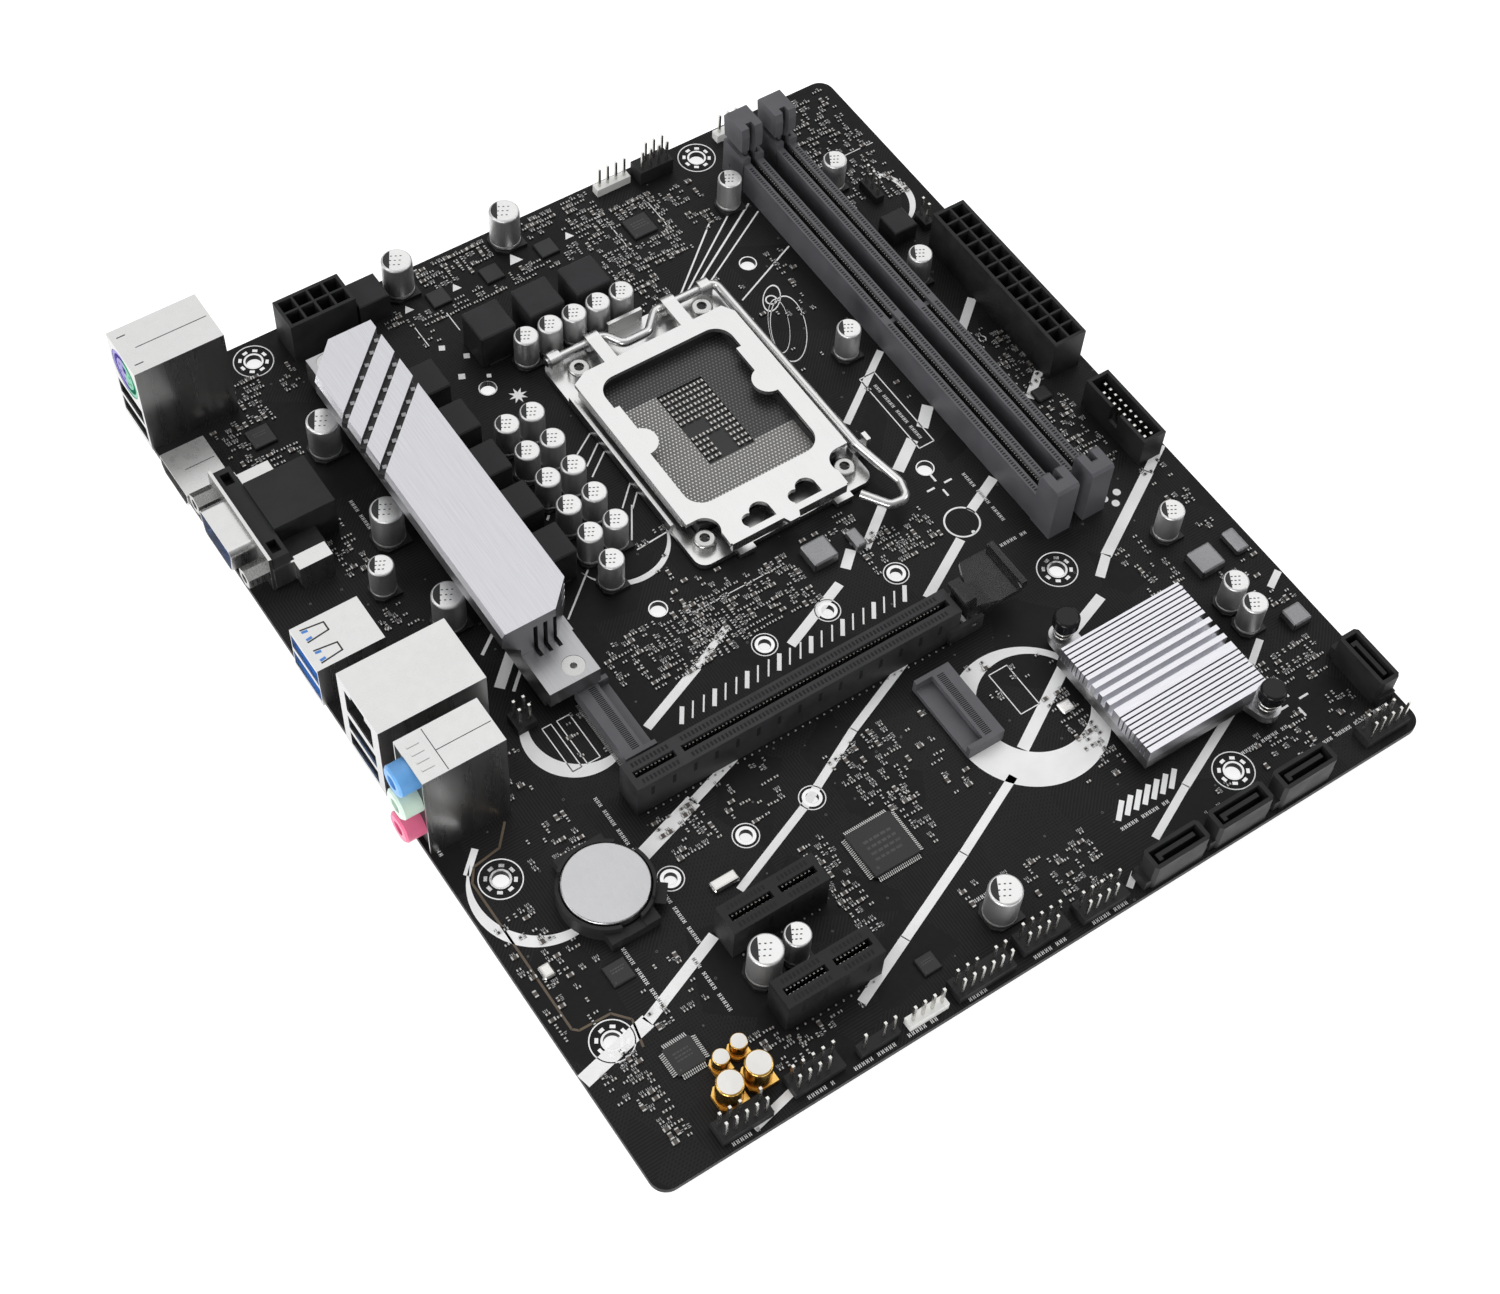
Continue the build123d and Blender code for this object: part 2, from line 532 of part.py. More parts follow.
def socket_frame():
    frame = block(FRAME_X, FRAME_Y, FRAME_Z)
    frame = fillet(frame.edges().filter_by(Axis.Z), 3.0)
    frame -= block((SOCKET_X[0] - 0.4, SOCKET_X[1] + 0.4), (SOCKET_Y[0] - 0.4, SOCKET_Y[1] + 0.4), (0, 4))
    top = FRAME_Z[1]
    for x, y in FRAME_SCREWS:
        frame -= post(x, y, (0, top + 1), 1.8)
    for x in ((93.0, 96.2), (137.6, 140.6)):
        upright = block(x, (SHAFT_Y - 2.1, SHAFT_Y + 2.1), (top, SHAFT_Z + 2.0))
        frame += fillet(upright.edges().filter_by(Axis.X).group_by(Axis.Z)[-1], 1.6)
        frame -= rod_x(grown(x, 1), SHAFT_Y, SHAFT_Z, SHAFT_R + RUN_GAP)
    frame += block((111.4, 121.4), (FRAME_Y[1] - 0.9, FRAME_Y[1]), (top, 6.4))
    for x in ((102.2, 106.8), (130.4, 135.2)):
        frame += block(x, (FRAME_Y[0] - 1.6, FRAME_Y[0] + 1), (FRAME_Z[0], top))
    # the catch that the lever's arm is pushed under
    frame += block((141.0, 146.2), (131.9, 134.5), (top, 4.7))
    frame += block((145.0, 146.2), (131.9, 134.5), (4.7, 7.4))
    for x in ((92.0, 92.9), (141.7, 142.6)):
        frame += block(x, (138.0, 184.0), (top, 3.7))
    return frame


def load_plate():
    left, right = PLATE_X
    through = grown(PLATE_Z, 1)
    # down the left side, along the foot with its middle tab, and up the right side
    outline = [(98.0, PLATE_TOP_Y), (left, 184.2), (left, 134.2), (96.6, 134.2)]
    outline += [(100.0, 131.0), (99.8, 124.0)]
    outline += [(114.8, 123.6), (115.6, 121.9), (118.4, 121.9), (119.2, 123.6)]
    outline += [(133.8, 124.0), (134.0, 131.0), (137.6, 134.0)]
    outline += [(right, 134.0), (right, 183.2), (138.6, PLATE_TOP_Y)]
    plate = slab(outline, PLATE_Z) - window(through)
    for x, y in FRAME_SCREWS[2:]:
        plate -= post(x, y, through, 3.9)
    for x in NOTCHES_X:
        # a cloud-shaped notch: a big lobe, a small one and the slot that joins them
        plate -= post(x + 5.6, 128.4, through, 2.7)
        plate -= post(x + 2.0, 127.4, through, 2.0)
        plate -= block((x + 0.6, x + 8.3), (125.4, 127.8), through)
    skirt = (4.2, PLATE_Z[1])
    for x in ((left, left + 0.9), (right - 0.9, right)):
        plate += block(x, (136.0, 182.6), skirt)
    for x in ((100.2, 114.6), (119.4, 133.4)):
        plate += block(x, (123.6, 124.5), skirt)
    for x in PLATE_EARS_X:
        plate += block(x, (PLATE_TOP_Y - 1, SHAFT_Y), (PLATE_Z[0] + 0.1, PLATE_Z[1]))
        plate += rod_x(x, SHAFT_Y, SHAFT_Z, 2.3)
    for x in PLATE_EARS_X:
        plate -= rod_x(grown(x, 1), SHAFT_Y, SHAFT_Z, SHAFT_R + RUN_GAP)
    return plate


def socket_lever():
    # one bent rod: shaft, crank over the plate's edge, arm down the side, and a finger hook at its end
    arm_x, arm_z = 142.6, 6.4
    crank_y, crank_z = 190.0, 5.6
    path = FilletPolyline((92.4, SHAFT_Y, SHAFT_Z), (109.2, SHAFT_Y, SHAFT_Z), (111.8, crank_y, crank_z),
                          (119.2, crank_y, crank_z), (124.4, SHAFT_Y, SHAFT_Z), (arm_x, SHAFT_Y, SHAFT_Z),
                          (arm_x, 132.5, arm_z), (145.0, 118.0, arm_z), (143.6, 113.0, arm_z),
                          (139.0, 113.6, arm_z), (134.8, 120.0, arm_z), radius=2.2)
    section = Plane(origin=path @ 0, z_dir=path % 0) * Circle(SHAFT_R)
    return sweep(section, path=path)


def socket_screws():
    screws = []
    for x, y in FRAME_SCREWS:
        head = post(x, y, (FRAME_Z[1], 4.6), 2.9)
        head = fillet(head.edges().group_by(Axis.Z)[-1], 0.8)
        head -= post(x, y, (3.4, 6), 1.3)
        screws.append(head + post(x, y, (0.0, FRAME_Z[1]), 1.75))
    return screws


def socket_backplate():
    z = (-BOARD_T - 1.9, -BOARD_T)
    plate = block((92.6, 141.8), (125.4, 196.2), z)
    plate = fillet(plate.edges().filter_by(Axis.Z), 4.0)
    return plate - block((106.0, 128.0), (148.4, 171.4), grown(z, 1))


def processor_socket():
    socket_body()
    save("socket_frame", socket_frame())
    save("load_plate", load_plate())
    save("socket_lever", socket_lever())
    save("socket_screws", *socket_screws())
    save("socket_backplate", socket_backplate())


# ---------- card slots ----------

def card_slot(at, length):
    x, y = (at[0], at[0] + length), (at[1] - CARD_SLOT_W / 2, at[1] + CARD_SLOT_W / 2)
    gap = (at[1] - CARD_SLOT_GAP / 2, at[1] + CARD_SLOT_GAP / 2)
    key = x[0] + CARD_KEY_FROM_END
    slot = block(x, y, (0, CARD_SLOT_H))
    slot -= block((x[0] + 1.4, key - CARD_KEY_W / 2), gap, (3.0, CARD_SLOT_H + 1))
    slot -= block((key + CARD_KEY_W / 2, x[1] - 1.4), gap, (3.0, CARD_SLOT_H + 1))
    return slot


def card_latch():
    # the retention clip at the slot's end: a hook over the card, a pivot and a broad thumb pad
    axis_x, axis_z = CARD_LATCH_AXIS
    mid_y = X16_AT[1]
    low, high = mid_y - 3.4, mid_y + 3.4
    pad_low, pad_high, pad_end = low - 1.4, high + 5.4, axis_x + 14.0
    clip = bar_y([(axis_x - 2.2, 1.6), (axis_x + 2.0, 1.6), (axis_x + 5.4, 6.6), (axis_x + 5.4, 8.6),
                  (axis_x + 0.6, 8.6), (axis_x - 0.4, 13.2), (axis_x - 3.6, 13.2), (axis_x - 3.6, 11.9),
                  (axis_x - 1.9, 10.4)], (low, high))
    pad = slab([(axis_x + 2.0, low), (axis_x + 6.4, pad_low), (pad_end - 1.2, pad_low), (pad_end, low + 1),
                (pad_end, pad_high), (axis_x + 4.4, pad_high), (axis_x + 2.0, high)], (7.2, 8.6))
    lip = block((pad_end - 1.6, pad_end), (pad_low, pad_high), (8.2, 10.6))
    return clip + pad + lip + rod_y((low - 0.9, high + 0.9), axis_x, axis_z, 1.1)


def card_slots():
    axis_x, axis_z = CARD_LATCH_AXIS
    end = X16_AT[0] + X16_L
    x16 = card_slot(X16_AT, X16_L)
    low, high = X16_AT[1] - 4.7, X16_AT[1] + 4.7
    for span in ((low, low + 1.0), (high - 1.0, high)):
        x16 += block((end - 3, axis_x + 2.2), span, (0, 5.4))
    x16 -= rod_y((low - 1, high + 1), axis_x, axis_z, 1.1 + RUN_GAP)
    x16 -= block((end, axis_x + 3), (low + 1.0, high - 1.0), (0.4, 20))
    x16 += block((end - 2, axis_x + 2.2), (low, high), (0, 0.6))
    save("pcie_x16_slot", x16)
    save("pcie_x16_latch", card_latch())
    save("pcie_x1_slot_upper", card_slot(X1_UPPER_AT, X1_L))
    save("pcie_x1_slot_lower", card_slot(X1_LOWER_AT, X1_L))


def m2_socket(x, mid_y, mouth):
    # a low edge socket whose mouth faces +X or -X: a tall back bar, a shallow floor and two end cheeks
    y = (mid_y - M2_W / 2, mid_y + M2_W / 2)
    body = block(x, y, (0.2, M2_H))
    way = (x[0] + 2.6, x[1] + 1) if mouth > 0 else (x[0] - 1, x[1] - 2.6)
    body -= block(way, grown(y, -1.2), (1.5, 2.5))
    relief = (x[0] + 5.4, x[1] + 1) if mouth > 0 else (x[0] - 1, x[1] - 5.4)
    body -= block(relief, grown(y, -1.2), (1.5, M2_H + 1))
    return body


def m2_sockets():
    save("m2_socket_upper", m2_socket(M2_UPPER_X, M2_UPPER_HOLES[0][1], 1))
    save("m2_socket_lower", m2_socket(M2_LOWER_X, M2_LOWER_HOLES[0][1], -1))


# ---------- cooling ----------

def power_heatsink():
    left, right = SINK_X
    base_left, base_right = SINK_BASE_X
    top = SINK_TOP
    profile = [(base_left, SINK_BASE_Z[0]), (base_right, SINK_BASE_Z[0]), (base_right, 9.4), (right, 12.4),
               (right, top), (left + 0.9, top), (left, top - 0.9), (left, 17.0), (base_left, 12.6)]
    sink = bar_y(profile, SINK_Y)
    for level in (14.6, 17.2, 19.6):
        sink -= block((right - 2.2, right + 1), grown(SINK_Y, 1), (level - 0.5, level + 0.5))
    above = (SINK_BASE_Z[1], top + 1)
    sink -= slab([(left - 1, 206.8), (46.0, SINK_Y[1] + 1), (left - 1, SINK_Y[1] + 1)], above)
    sink -= slab([(49.4, SINK_Y[0] - 1), (right + 1, SINK_Y[0] - 1), (right + 1, 129.2)], above)
    for foot in (214.2, 205.4, 196.6):
        # slanting slots milled across the top near one end
        width = 2.5
        sink -= slab([(right + 1, foot + 1), (right + 1, foot + 1 - width), (left - 1, foot - 20.6 - width),
                      (left - 1, foot - 20.6)], (top - 3.0, top + 1))
    base = block(SINK_BASE_X, SINK_BASE_Y, SINK_BASE_Z)
    # the end that carries the screw is thinner, and clears the card socket under it
    socket_edge = M2_UPPER_HOLES[0][1] + M2_W / 2
    base -= block(grown(SINK_BASE_X, 1), (SINK_BASE_Y[0] - 1, socket_edge + 1), (0, M2_H + 0.8))
    sink += base
    for x in (44.4, 47.0, 49.6):
        sink -= block((x, x + 1.1), (SINK_Y[0] - 2.4, SINK_Y[0] + 6.0), (SINK_BASE_Z[1] - 2.0, top - 3))
    screws = []
    for x, y in ((49.7, 113.4), (45.4, 220.2)):
        sink -= post(x, y, (SINK_BASE_Z[1] - 2.4, 12), 2.8) + post(x, y, (0, 12), 1.6)
        screw = post(x, y, (SINK_BASE_Z[1] - 2.4, SINK_BASE_Z[1] - 0.1), 2.75) + post(x, y, (0, 8), 1.5)
        screws.append(screw - post(x, y, (SINK_BASE_Z[1] - 1.6, 12), 0.85))
    pads = [block((44.0, 53.6), (y - 6.4, y + 6.4), (1.0, SINK_BASE_Z[0])) for y in range(133, 212, 15)]
    save("vrm_heatsink", sink)
    save("vrm_heatsink_screws", *screws)
    save("vrm_thermal_pads", *pads)


def chipset_grooves(y):
    # fine grooves near both long sides, four wide channels between them: (centre, width, depth)
    fine = [y[0] + 1.6 + CHIP_FINE_PITCH * n for n in range(8)]
    fine += [y[1] - 0.9 - CHIP_FINE_PITCH * n for n in range(7)]
    wide = [y[0] + 14.2 + CHIP_WIDE_PITCH * n for n in range(4)]
    return [(at, CHIP_FINE_GROOVE, 3.8) for at in fine] + [(at, CHIP_WIDE_GROOVE, 3.0) for at in wide]


def chipset_cooling():
    x, y, z = CHIP_SINK_X, CHIP_SINK_Y, CHIP_SINK_Z
    floor = z[0] + 2.2
    sink = block(x, y, z)
    for at, width, depth in chipset_grooves(y):
        sink -= block(grown(x, 1), (at - width / 2, at + width / 2), (z[1] - depth, z[1] + 1))
    pins, springs = [], []
    for px, py in CHIP_PINS:
        near_y = y[1] if py > y[1] else y[0]
        toward_x = min(max(px, x[0] + 3), x[1] - 3)
        ear = Line((px, py, 0), (toward_x, near_y + (-2 if py > near_y else 2), 0))
        middle = ear @ 0.5
        angle = Vector(1, 0, 0).get_signed_angle(ear % 0, Vector(0, 0, 1))
        ear_box = Box(ear.length, 6.6, floor - z[0])
        sink += Pos(middle.X, middle.Y, (z[0] + floor) / 2) * Rot(0, 0, angle) * ear_box
        sink += post(px, py, (z[0], floor), 3.3)
    for px, py in CHIP_PINS:
        sink -= post(px, py, (0, floor + 1), 1.7)
        sink -= post(px, py, (floor, z[1] + 1), 3.6)
        stem = post(px, py, (0.0, 9.2), 1.3)
        head = post(px, py, (9.2, 12.4), 3.2)
        pins.append(stem + fillet(head.edges().group_by(Axis.Z)[-1], 0.9))
        springs.append(spring_around(px, py, floor, 9.2))
    package = block((152.4, 171.4), (29.0, 48.6), (0, 1.0))
    package += block((156.6, 167.2), (33.6, 44.2), (1.0, z[0]))
    save("chipset_heatsink", sink)
    save("chipset_push_pins", *pins)
    save("chipset_pin_springs", *springs)
    save("chipset_package", package)


def spring_around(x, y, low, high):
    # open coil of round wire between the ear and the head of a push pin
    wire, radius = 0.3, 2.1
    height = high - low - 2 * wire
    coil = Pos(x, y, low + wire) * Helix(pitch=height / 3, height=height, radius=radius)
    section = Plane(origin=coil @ 0, z_dir=coil % 0) * Circle(wire)
    return sweep(section, path=coil)


# ---------- coin cell ----------

def coin_cell_and_holder():
    x, y = CELL_AT
    holder = post(x, y, (0, HOLDER_H), HOLDER_R)
    holder += block((x - 6.2, x + 6.2), (y - 12.6, y + 12.0), (0, 3.2))
    holder -= post(x, y, (CELL_Z[0] - 0.4, HOLDER_H + 1), CELL_R + 0.35)
    for angle in (35, 145, 270):
        holder -= Pos(x, y, 4.2) * Rot(0, 0, angle) * Pos(HOLDER_R, 0, 0) * Box(4, 5.0, 2.6)
    clip = Pos(x, y, 0) * Rot(0, 0, -38) * block((CELL_R + 0.4, CELL_R + 0.9), (-2.6, 2.6), (2.9, 6.4))
    foot = Pos(x, y, 0) * Rot(0, 0, -38) * block((CELL_R + 0.4, CELL_R + 3.4), (-2.6, 2.6), (2.5, 2.9))
    cell = post(x, y, CELL_Z, CELL_R)
    cell = chamfer(cell.edges().group_by(Axis.Z)[0], 0.7)
    cell = fillet(cell.edges().group_by(Axis.Z)[-1], 0.4)
    save("coin_cell", cell)
    save("coin_cell_holder", holder + clip + foot)


# ---------- data ports ----------

def sata_port(mid_x, mid_y, along_x=True):
    # a keyed upright socket: a shroud with an L-shaped blade inside
    half_l, half_w = SATA_L / 2, SATA_W / 2
    shroud = block((-half_l, half_l), (-half_w, half_w), (0, SATA_H))
    shroud = chamfer(shroud.edges().filter_by(Axis.Z), 0.8)
    shroud -= block((-half_l + 1.1, half_l - 1.1), (-half_w + 1.0, half_w - 1.0), (2.2, SATA_H + 1))
    shroud += block((-half_l + 2.4, half_l - 2.4), (-0.2, 0.9), (2.0, SATA_H - 0.8))
    shroud += block((-half_l + 2.4, -half_l + 3.5), (-1.0, 0.9), (2.0, SATA_H - 0.8))
    shroud += block((-half_l - 1.4, half_l + 0.6), (-half_w + 0.6, half_w - 0.4), (0, 3.4))
    turn = 0 if along_x else -90
    return Pos(mid_x, mid_y, 0) * Rot(0, 0, turn) * shroud


# ---------- parts soldered to the board ----------

def choke(x, y):
    half = CHOKE_SIDE / 2
    body = block((x - half, x + half), (y - half, y + half), (0.3, CHOKE_H))
    body = fillet(body.edges().filter_by(Axis.Z), 0.6)
    body = chamfer(body.edges().group_by(Axis.Z)[-1], 0.35)
    return body + block((x - 3.0, x + 3.0), (y - half - 0.4, y + half + 0.4), (0, 0.6))


def small_choke(x, y, side, height):
    half = side / 2
    body = block((x - half, x + half), (y - half, y + half), (0, height))
    return chamfer(body.edges().group_by(Axis.Z)[-1], 0.3)


def can_capacitor(x, y, radius, height):
    # an aluminium can with a rolled neck above a square foot with two cut corners
    half = radius + 0.15
    cut = radius * 0.45
    foot = slab([(x - half, y - half + cut), (x - half + cut, y - half), (x + half, y - half),
                 (x + half, y + half), (x - half + cut, y + half), (x - half, y + half - cut)], (0, 1.0))
    can = post(x, y, (1.0, height), radius)
    can = fillet(can.edges().group_by(Axis.Z)[-1], radius * 0.16)
    neck = post(x, y, (1.7, 2.3), radius + 1) - post(x, y, (1.7, 2.3), radius * 0.9)
    return can + foot - neck


def leaded_chip(x, y, side, height, leads):
    # a square package with gull-wing leads drawn as short feet along all four sides
    half = side / 2
    body = block((x - half, x + half), (y - half, y + half), (0.15, height))
    body = chamfer(body.edges().group_by(Axis.Z)[-1], 0.2)
    if leads:
        span = half - 0.8
        body += block((x - span, x + span), (y - half - 0.9, y + half + 0.9), (0, 0.3))
        body += block((x - half - 0.9, x + half + 0.9), (y - span, y + span), (0, 0.3))
    return body


def soldered_parts():
    chokes = [choke(x, y) for x, y in CHOKES]
    chokes += [small_choke(65.2, 236.9, 8.6, 8.0), small_choke(195.0, 187.6, 7.0, 5.2)]
    chokes += [small_choke(118.6, 113.7, 6.8, 3.0), small_choke(196.2, 62.4, 6.8, 3.0)]
    chokes += [small_choke(204.4, 38.4, 5.2, 2.6)]
    chips = [leaded_chip(85.7, 41.6, 12.4, 1.4, True), leaded_chip(21.0, 23.2, 7.0, 1.0, True)]
    for x, y, side in ((23.4, 215.4, 6.0), (138.9, 224.8, 7.0), (77.1, 12.6, 4.6), (19.8, 47.0, 5.4)):
        chips.append(leaded_chip(x, y, side, 0.9, False))
    switches = [leaded_chip(x, 231.0, 5.2, 0.9, False) for x in (82.2, 97.8, 114.2)]
    switches += [leaded_chip(48.8, y, 5.4, 1.0, False) for y in range(133, 212, 15)]
    save("vrm_chokes", *chokes)
    save("integrated_circuits", *chips)
    save("power_transistors", *switches)
    save("polymer_capacitors", *[can_capacitor(x, y, POLYMER_R, POLYMER_H) for x, y in POLYMERS],
         can_capacitor(26.4, 160.4, POLYMER_R, POLYMER_H))
    save("electrolytic_capacitors",
         *[can_capacitor(x, y, ELECTROLYTIC_R, ELECTROLYTIC_H) for x, y in ELECTROLYTICS])
    save("audio_capacitors", *[can_capacitor(*cap) for cap in AUDIO_CAPS])


def solder_tails():
    # trimmed pin ends with their solder, on the underside of the board
    spots = []
    for (x0, y0), nx, ny, missing in PIN_HEADERS.values():
        spots += [(x0 + i * PIN_PITCH, y0 + j * PIN_PITCH) for i in range(nx) for j in range(ny)
                  if (i, j) not in missing]
    for at, nx, ny in ((CPU_POWER_AT, 4, 2), (MAIN_POWER_AT, 2, 12)):
        spots += [(at[0] + 0.6 + CELL_PITCH * (i + 0.5), at[1] + 0.6 + CELL_PITCH * (j + 0.5))
                  for i in range(nx) for j in range(ny)]
    for can in (PS2_CAN, USB3_CAN, LAN_CAN, AUDIO_CAN):
        for x in (can[0][0] + 5.0, can[0][1] - 1.2):
            spots += [(x, can[1][0] + 1.4), (x, can[1][1] - 1.4)]
    length = 1.2
    return [Pos(x, y, -BOARD_T - length / 2) * Cone(0.45, 0.85, length) for x, y in spots]


os.makedirs("parts", exist_ok=True)
save("printed_circuit_board", circuit_board())
ps2_usb_stack()
hdmi_port()
vga_port()
usb3_stack()
network_stack()
audio_stack()
power_connectors()
usb3_front_header()
header_pins()
fan_headers()
memory()
processor_socket()
card_slots()
m2_sockets()
power_heatsink()
chipset_cooling()
coin_cell_and_holder()
save("sata_ports", *[sata_port(x, y) for x, y in SATA_FLAT], sata_port(*SATA_EDGE, along_x=False))
soldered_parts()
save("solder_tails", *solder_tails())
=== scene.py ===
import json
import math
import random

import bmesh
import bpy
from mathutils import Matrix, Vector


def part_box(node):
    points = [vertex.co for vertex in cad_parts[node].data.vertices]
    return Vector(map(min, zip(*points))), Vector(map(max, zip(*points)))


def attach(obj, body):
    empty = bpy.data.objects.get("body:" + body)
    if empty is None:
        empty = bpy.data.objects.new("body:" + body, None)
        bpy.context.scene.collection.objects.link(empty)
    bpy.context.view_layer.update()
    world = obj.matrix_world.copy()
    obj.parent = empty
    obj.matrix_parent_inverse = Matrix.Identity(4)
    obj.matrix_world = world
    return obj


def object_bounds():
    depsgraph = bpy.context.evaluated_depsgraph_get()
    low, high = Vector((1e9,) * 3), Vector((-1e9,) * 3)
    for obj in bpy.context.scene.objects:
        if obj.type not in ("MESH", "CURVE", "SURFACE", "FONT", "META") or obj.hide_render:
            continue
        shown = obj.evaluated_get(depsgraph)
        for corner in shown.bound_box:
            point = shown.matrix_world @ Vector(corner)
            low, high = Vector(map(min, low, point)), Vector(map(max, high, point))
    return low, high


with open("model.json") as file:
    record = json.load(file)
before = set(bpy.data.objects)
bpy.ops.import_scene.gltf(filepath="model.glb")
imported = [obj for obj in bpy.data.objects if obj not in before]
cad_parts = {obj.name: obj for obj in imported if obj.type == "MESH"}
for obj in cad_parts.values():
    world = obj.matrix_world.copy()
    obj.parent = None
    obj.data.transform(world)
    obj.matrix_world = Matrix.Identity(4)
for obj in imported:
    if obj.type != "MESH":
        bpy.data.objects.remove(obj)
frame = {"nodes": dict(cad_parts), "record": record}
cadLow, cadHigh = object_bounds()
nodes = frame["nodes"]
boardLow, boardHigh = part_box("printed_circuit_board")
mm = 0.001
dice = random.Random(7)


def at(x, y, z=0.0):
    # millimetres from the rear edge, from the card-slot edge, and above the board's face
    return Vector((boardLow.x + x * mm, boardLow.y + y * mm, boardHigh.z + z * mm))


# camera and room

cameraSetup = {"lens": 60.69, "place": at(-107.6, -152.3, 495.2), "forward": (0.3352, 0.4293, -0.8386),
               "up": (0.4487, 0.7099, 0.5428)}
room = {"floorColour": (0.55, 0.55, 0.55), "floorSize": 8.0, "floorGlow": 0.85,
        "skyBright": 1.0, "skyDark": 0.42, "skyStrength": 0.5}
lamps = [
    {"name": "leftBox", "place": (-1.0, 0.35, 0.85), "size": 0.8, "power": 5.0},
    {"name": "topBox", "place": (0.44, 0.58, 1.09), "size": 1.5, "power": 6.5},
    {"name": "rightBox", "place": (0.95, -0.35, 0.75), "size": 0.5, "power": 2.0},
    {"name": "frontBox", "place": (-1.0, -0.75, 0.25), "size": 0.6, "power": 9.0},
]


def setCamera():
    forward = Vector(cameraSetup["forward"]).normalized()
    right = forward.cross(Vector(cameraSetup["up"])).normalized()
    up = right.cross(forward)
    turn = Matrix((right, up, -forward)).transposed().to_4x4()
    camera = bpy.data.objects.new("camera", bpy.data.cameras.new("camera"))
    camera.data.lens = cameraSetup["lens"]
    camera.data.sensor_width = 36.0
    camera.data.clip_start = 0.01
    camera.matrix_world = Matrix.Translation(cameraSetup["place"]) @ turn
    bpy.context.collection.objects.link(camera)
    bpy.context.scene.camera = camera


def setRoom():
    bpy.ops.object.select_all(action="DESELECT")
    bpy.ops.mesh.primitive_plane_add(size=room["floorSize"], location=(0, 0, cadLow.z - 0.02 * mm))
    floor = bpy.context.object
    floor.name = "floor"
    paper = bpy.data.materials.new("floor paper")
    paper.use_nodes = True
    tree = paper.node_tree
    shader = tree.nodes["Principled BSDF"]
    shader.inputs["Roughness"].default_value = 0.9
    shader.inputs["Specular IOR Level"].default_value = 0.1
    shader.inputs["Emission Color"].default_value = (1, 1, 1, 1)
    shader.inputs["Emission Strength"].default_value = room["floorGlow"]
    cloud = tree.nodes.new("ShaderNodeTexNoise")
    cloud.inputs["Scale"].default_value = 3.0
    ramp = tree.nodes.new("ShaderNodeValToRGB")
    ramp.color_ramp.elements[0].color = (*[c * 0.985 for c in room["floorColour"]], 1)
    ramp.color_ramp.elements[1].color = (*room["floorColour"], 1)
    tree.links.new(cloud.outputs["Fac"], ramp.inputs["Fac"])
    tree.links.new(ramp.outputs["Color"], shader.inputs["Base Color"])
    floor.data.materials.append(paper)
    world = bpy.data.worlds.new("room")
    bpy.context.scene.world = world
    world.use_nodes = True
    tree = world.node_tree
    coords = tree.nodes.new("ShaderNodeTexCoord")
    axes = tree.nodes.new("ShaderNodeSeparateXYZ")
    ramp = tree.nodes.new("ShaderNodeValToRGB")
    ramp.color_ramp.elements[0].position = 0.45
    ramp.color_ramp.elements[0].color = (*[room["skyDark"]] * 3, 1)
    ramp.color_ramp.elements[1].position = 0.95
    ramp.color_ramp.elements[1].color = (*[room["skyBright"]] * 3, 1)
    tree.links.new(coords.outputs["Generated"], axes.inputs["Vector"])
    tree.links.new(axes.outputs["Z"], ramp.inputs["Fac"])
    tree.links.new(ramp.outputs["Color"], tree.nodes["Background"].inputs["Color"])
    tree.nodes["Background"].inputs["Strength"].default_value = room["skyStrength"]
    for lamp in lamps:
        light = bpy.data.lights.new(lamp["name"], "AREA")
        light.size = lamp["size"]
        light.energy = lamp["power"]
        holder = bpy.data.objects.new(lamp["name"], light)
        holder.location = lamp["place"]
        holder.rotation_euler = (-Vector(lamp["place"])).to_track_quat("-Z", "Y").to_euler()
        bpy.context.collection.objects.link(holder)
    bpy.context.scene.view_settings.view_transform = "Standard"


setCamera()
setRoom()
print("camera and room ready")


# finishes

def newFinish(name, colour, rough, metal=0.0, specular=0.5):
    mat = bpy.data.materials.new(name)
    mat.use_nodes = True
    shader = mat.node_tree.nodes["Principled BSDF"]
    shader.inputs["Base Color"].default_value = (*colour, 1)
    shader.inputs["Roughness"].default_value = rough
    shader.inputs["Metallic"].default_value = metal
    shader.inputs["Specular IOR Level"].default_value = specular
    return mat, mat.node_tree, shader


def place(tree, stretch=(1, 1, 1), turn=0.0, shift=(0, 0, 0)):
    coords = tree.nodes.new("ShaderNodeTexCoord")
    mapping = tree.nodes.new("ShaderNodeMapping")
    mapping.inputs["Scale"].default_value = stretch
    mapping.inputs["Rotation"].default_value = (0, 0, math.radians(turn))
    mapping.inputs["Location"].default_value = shift
    tree.links.new(coords.outputs["Object"], mapping.inputs["Vector"])
    return mapping.outputs["Vector"]


def noise(tree, where, scale, detail=3.0):
    node = tree.nodes.new("ShaderNodeTexNoise")
    node.inputs["Scale"].default_value = scale
    node.inputs["Detail"].default_value = detail
    tree.links.new(where, node.inputs["Vector"])
    return node.outputs["Fac"]


def sums(tree, kind, first, second):
    node = tree.nodes.new("ShaderNodeMath")
    node.operation = kind
    for socket, value in zip(node.inputs, (first, second)):
        if isinstance(value, (int, float)):
            socket.default_value = value
        else:
            tree.links.new(value, socket)
    return node.outputs["Value"]


def split(tree, where):
    node = tree.nodes.new("ShaderNodeSeparateXYZ")
    tree.links.new(where, node.inputs["Vector"])
    return node.outputs


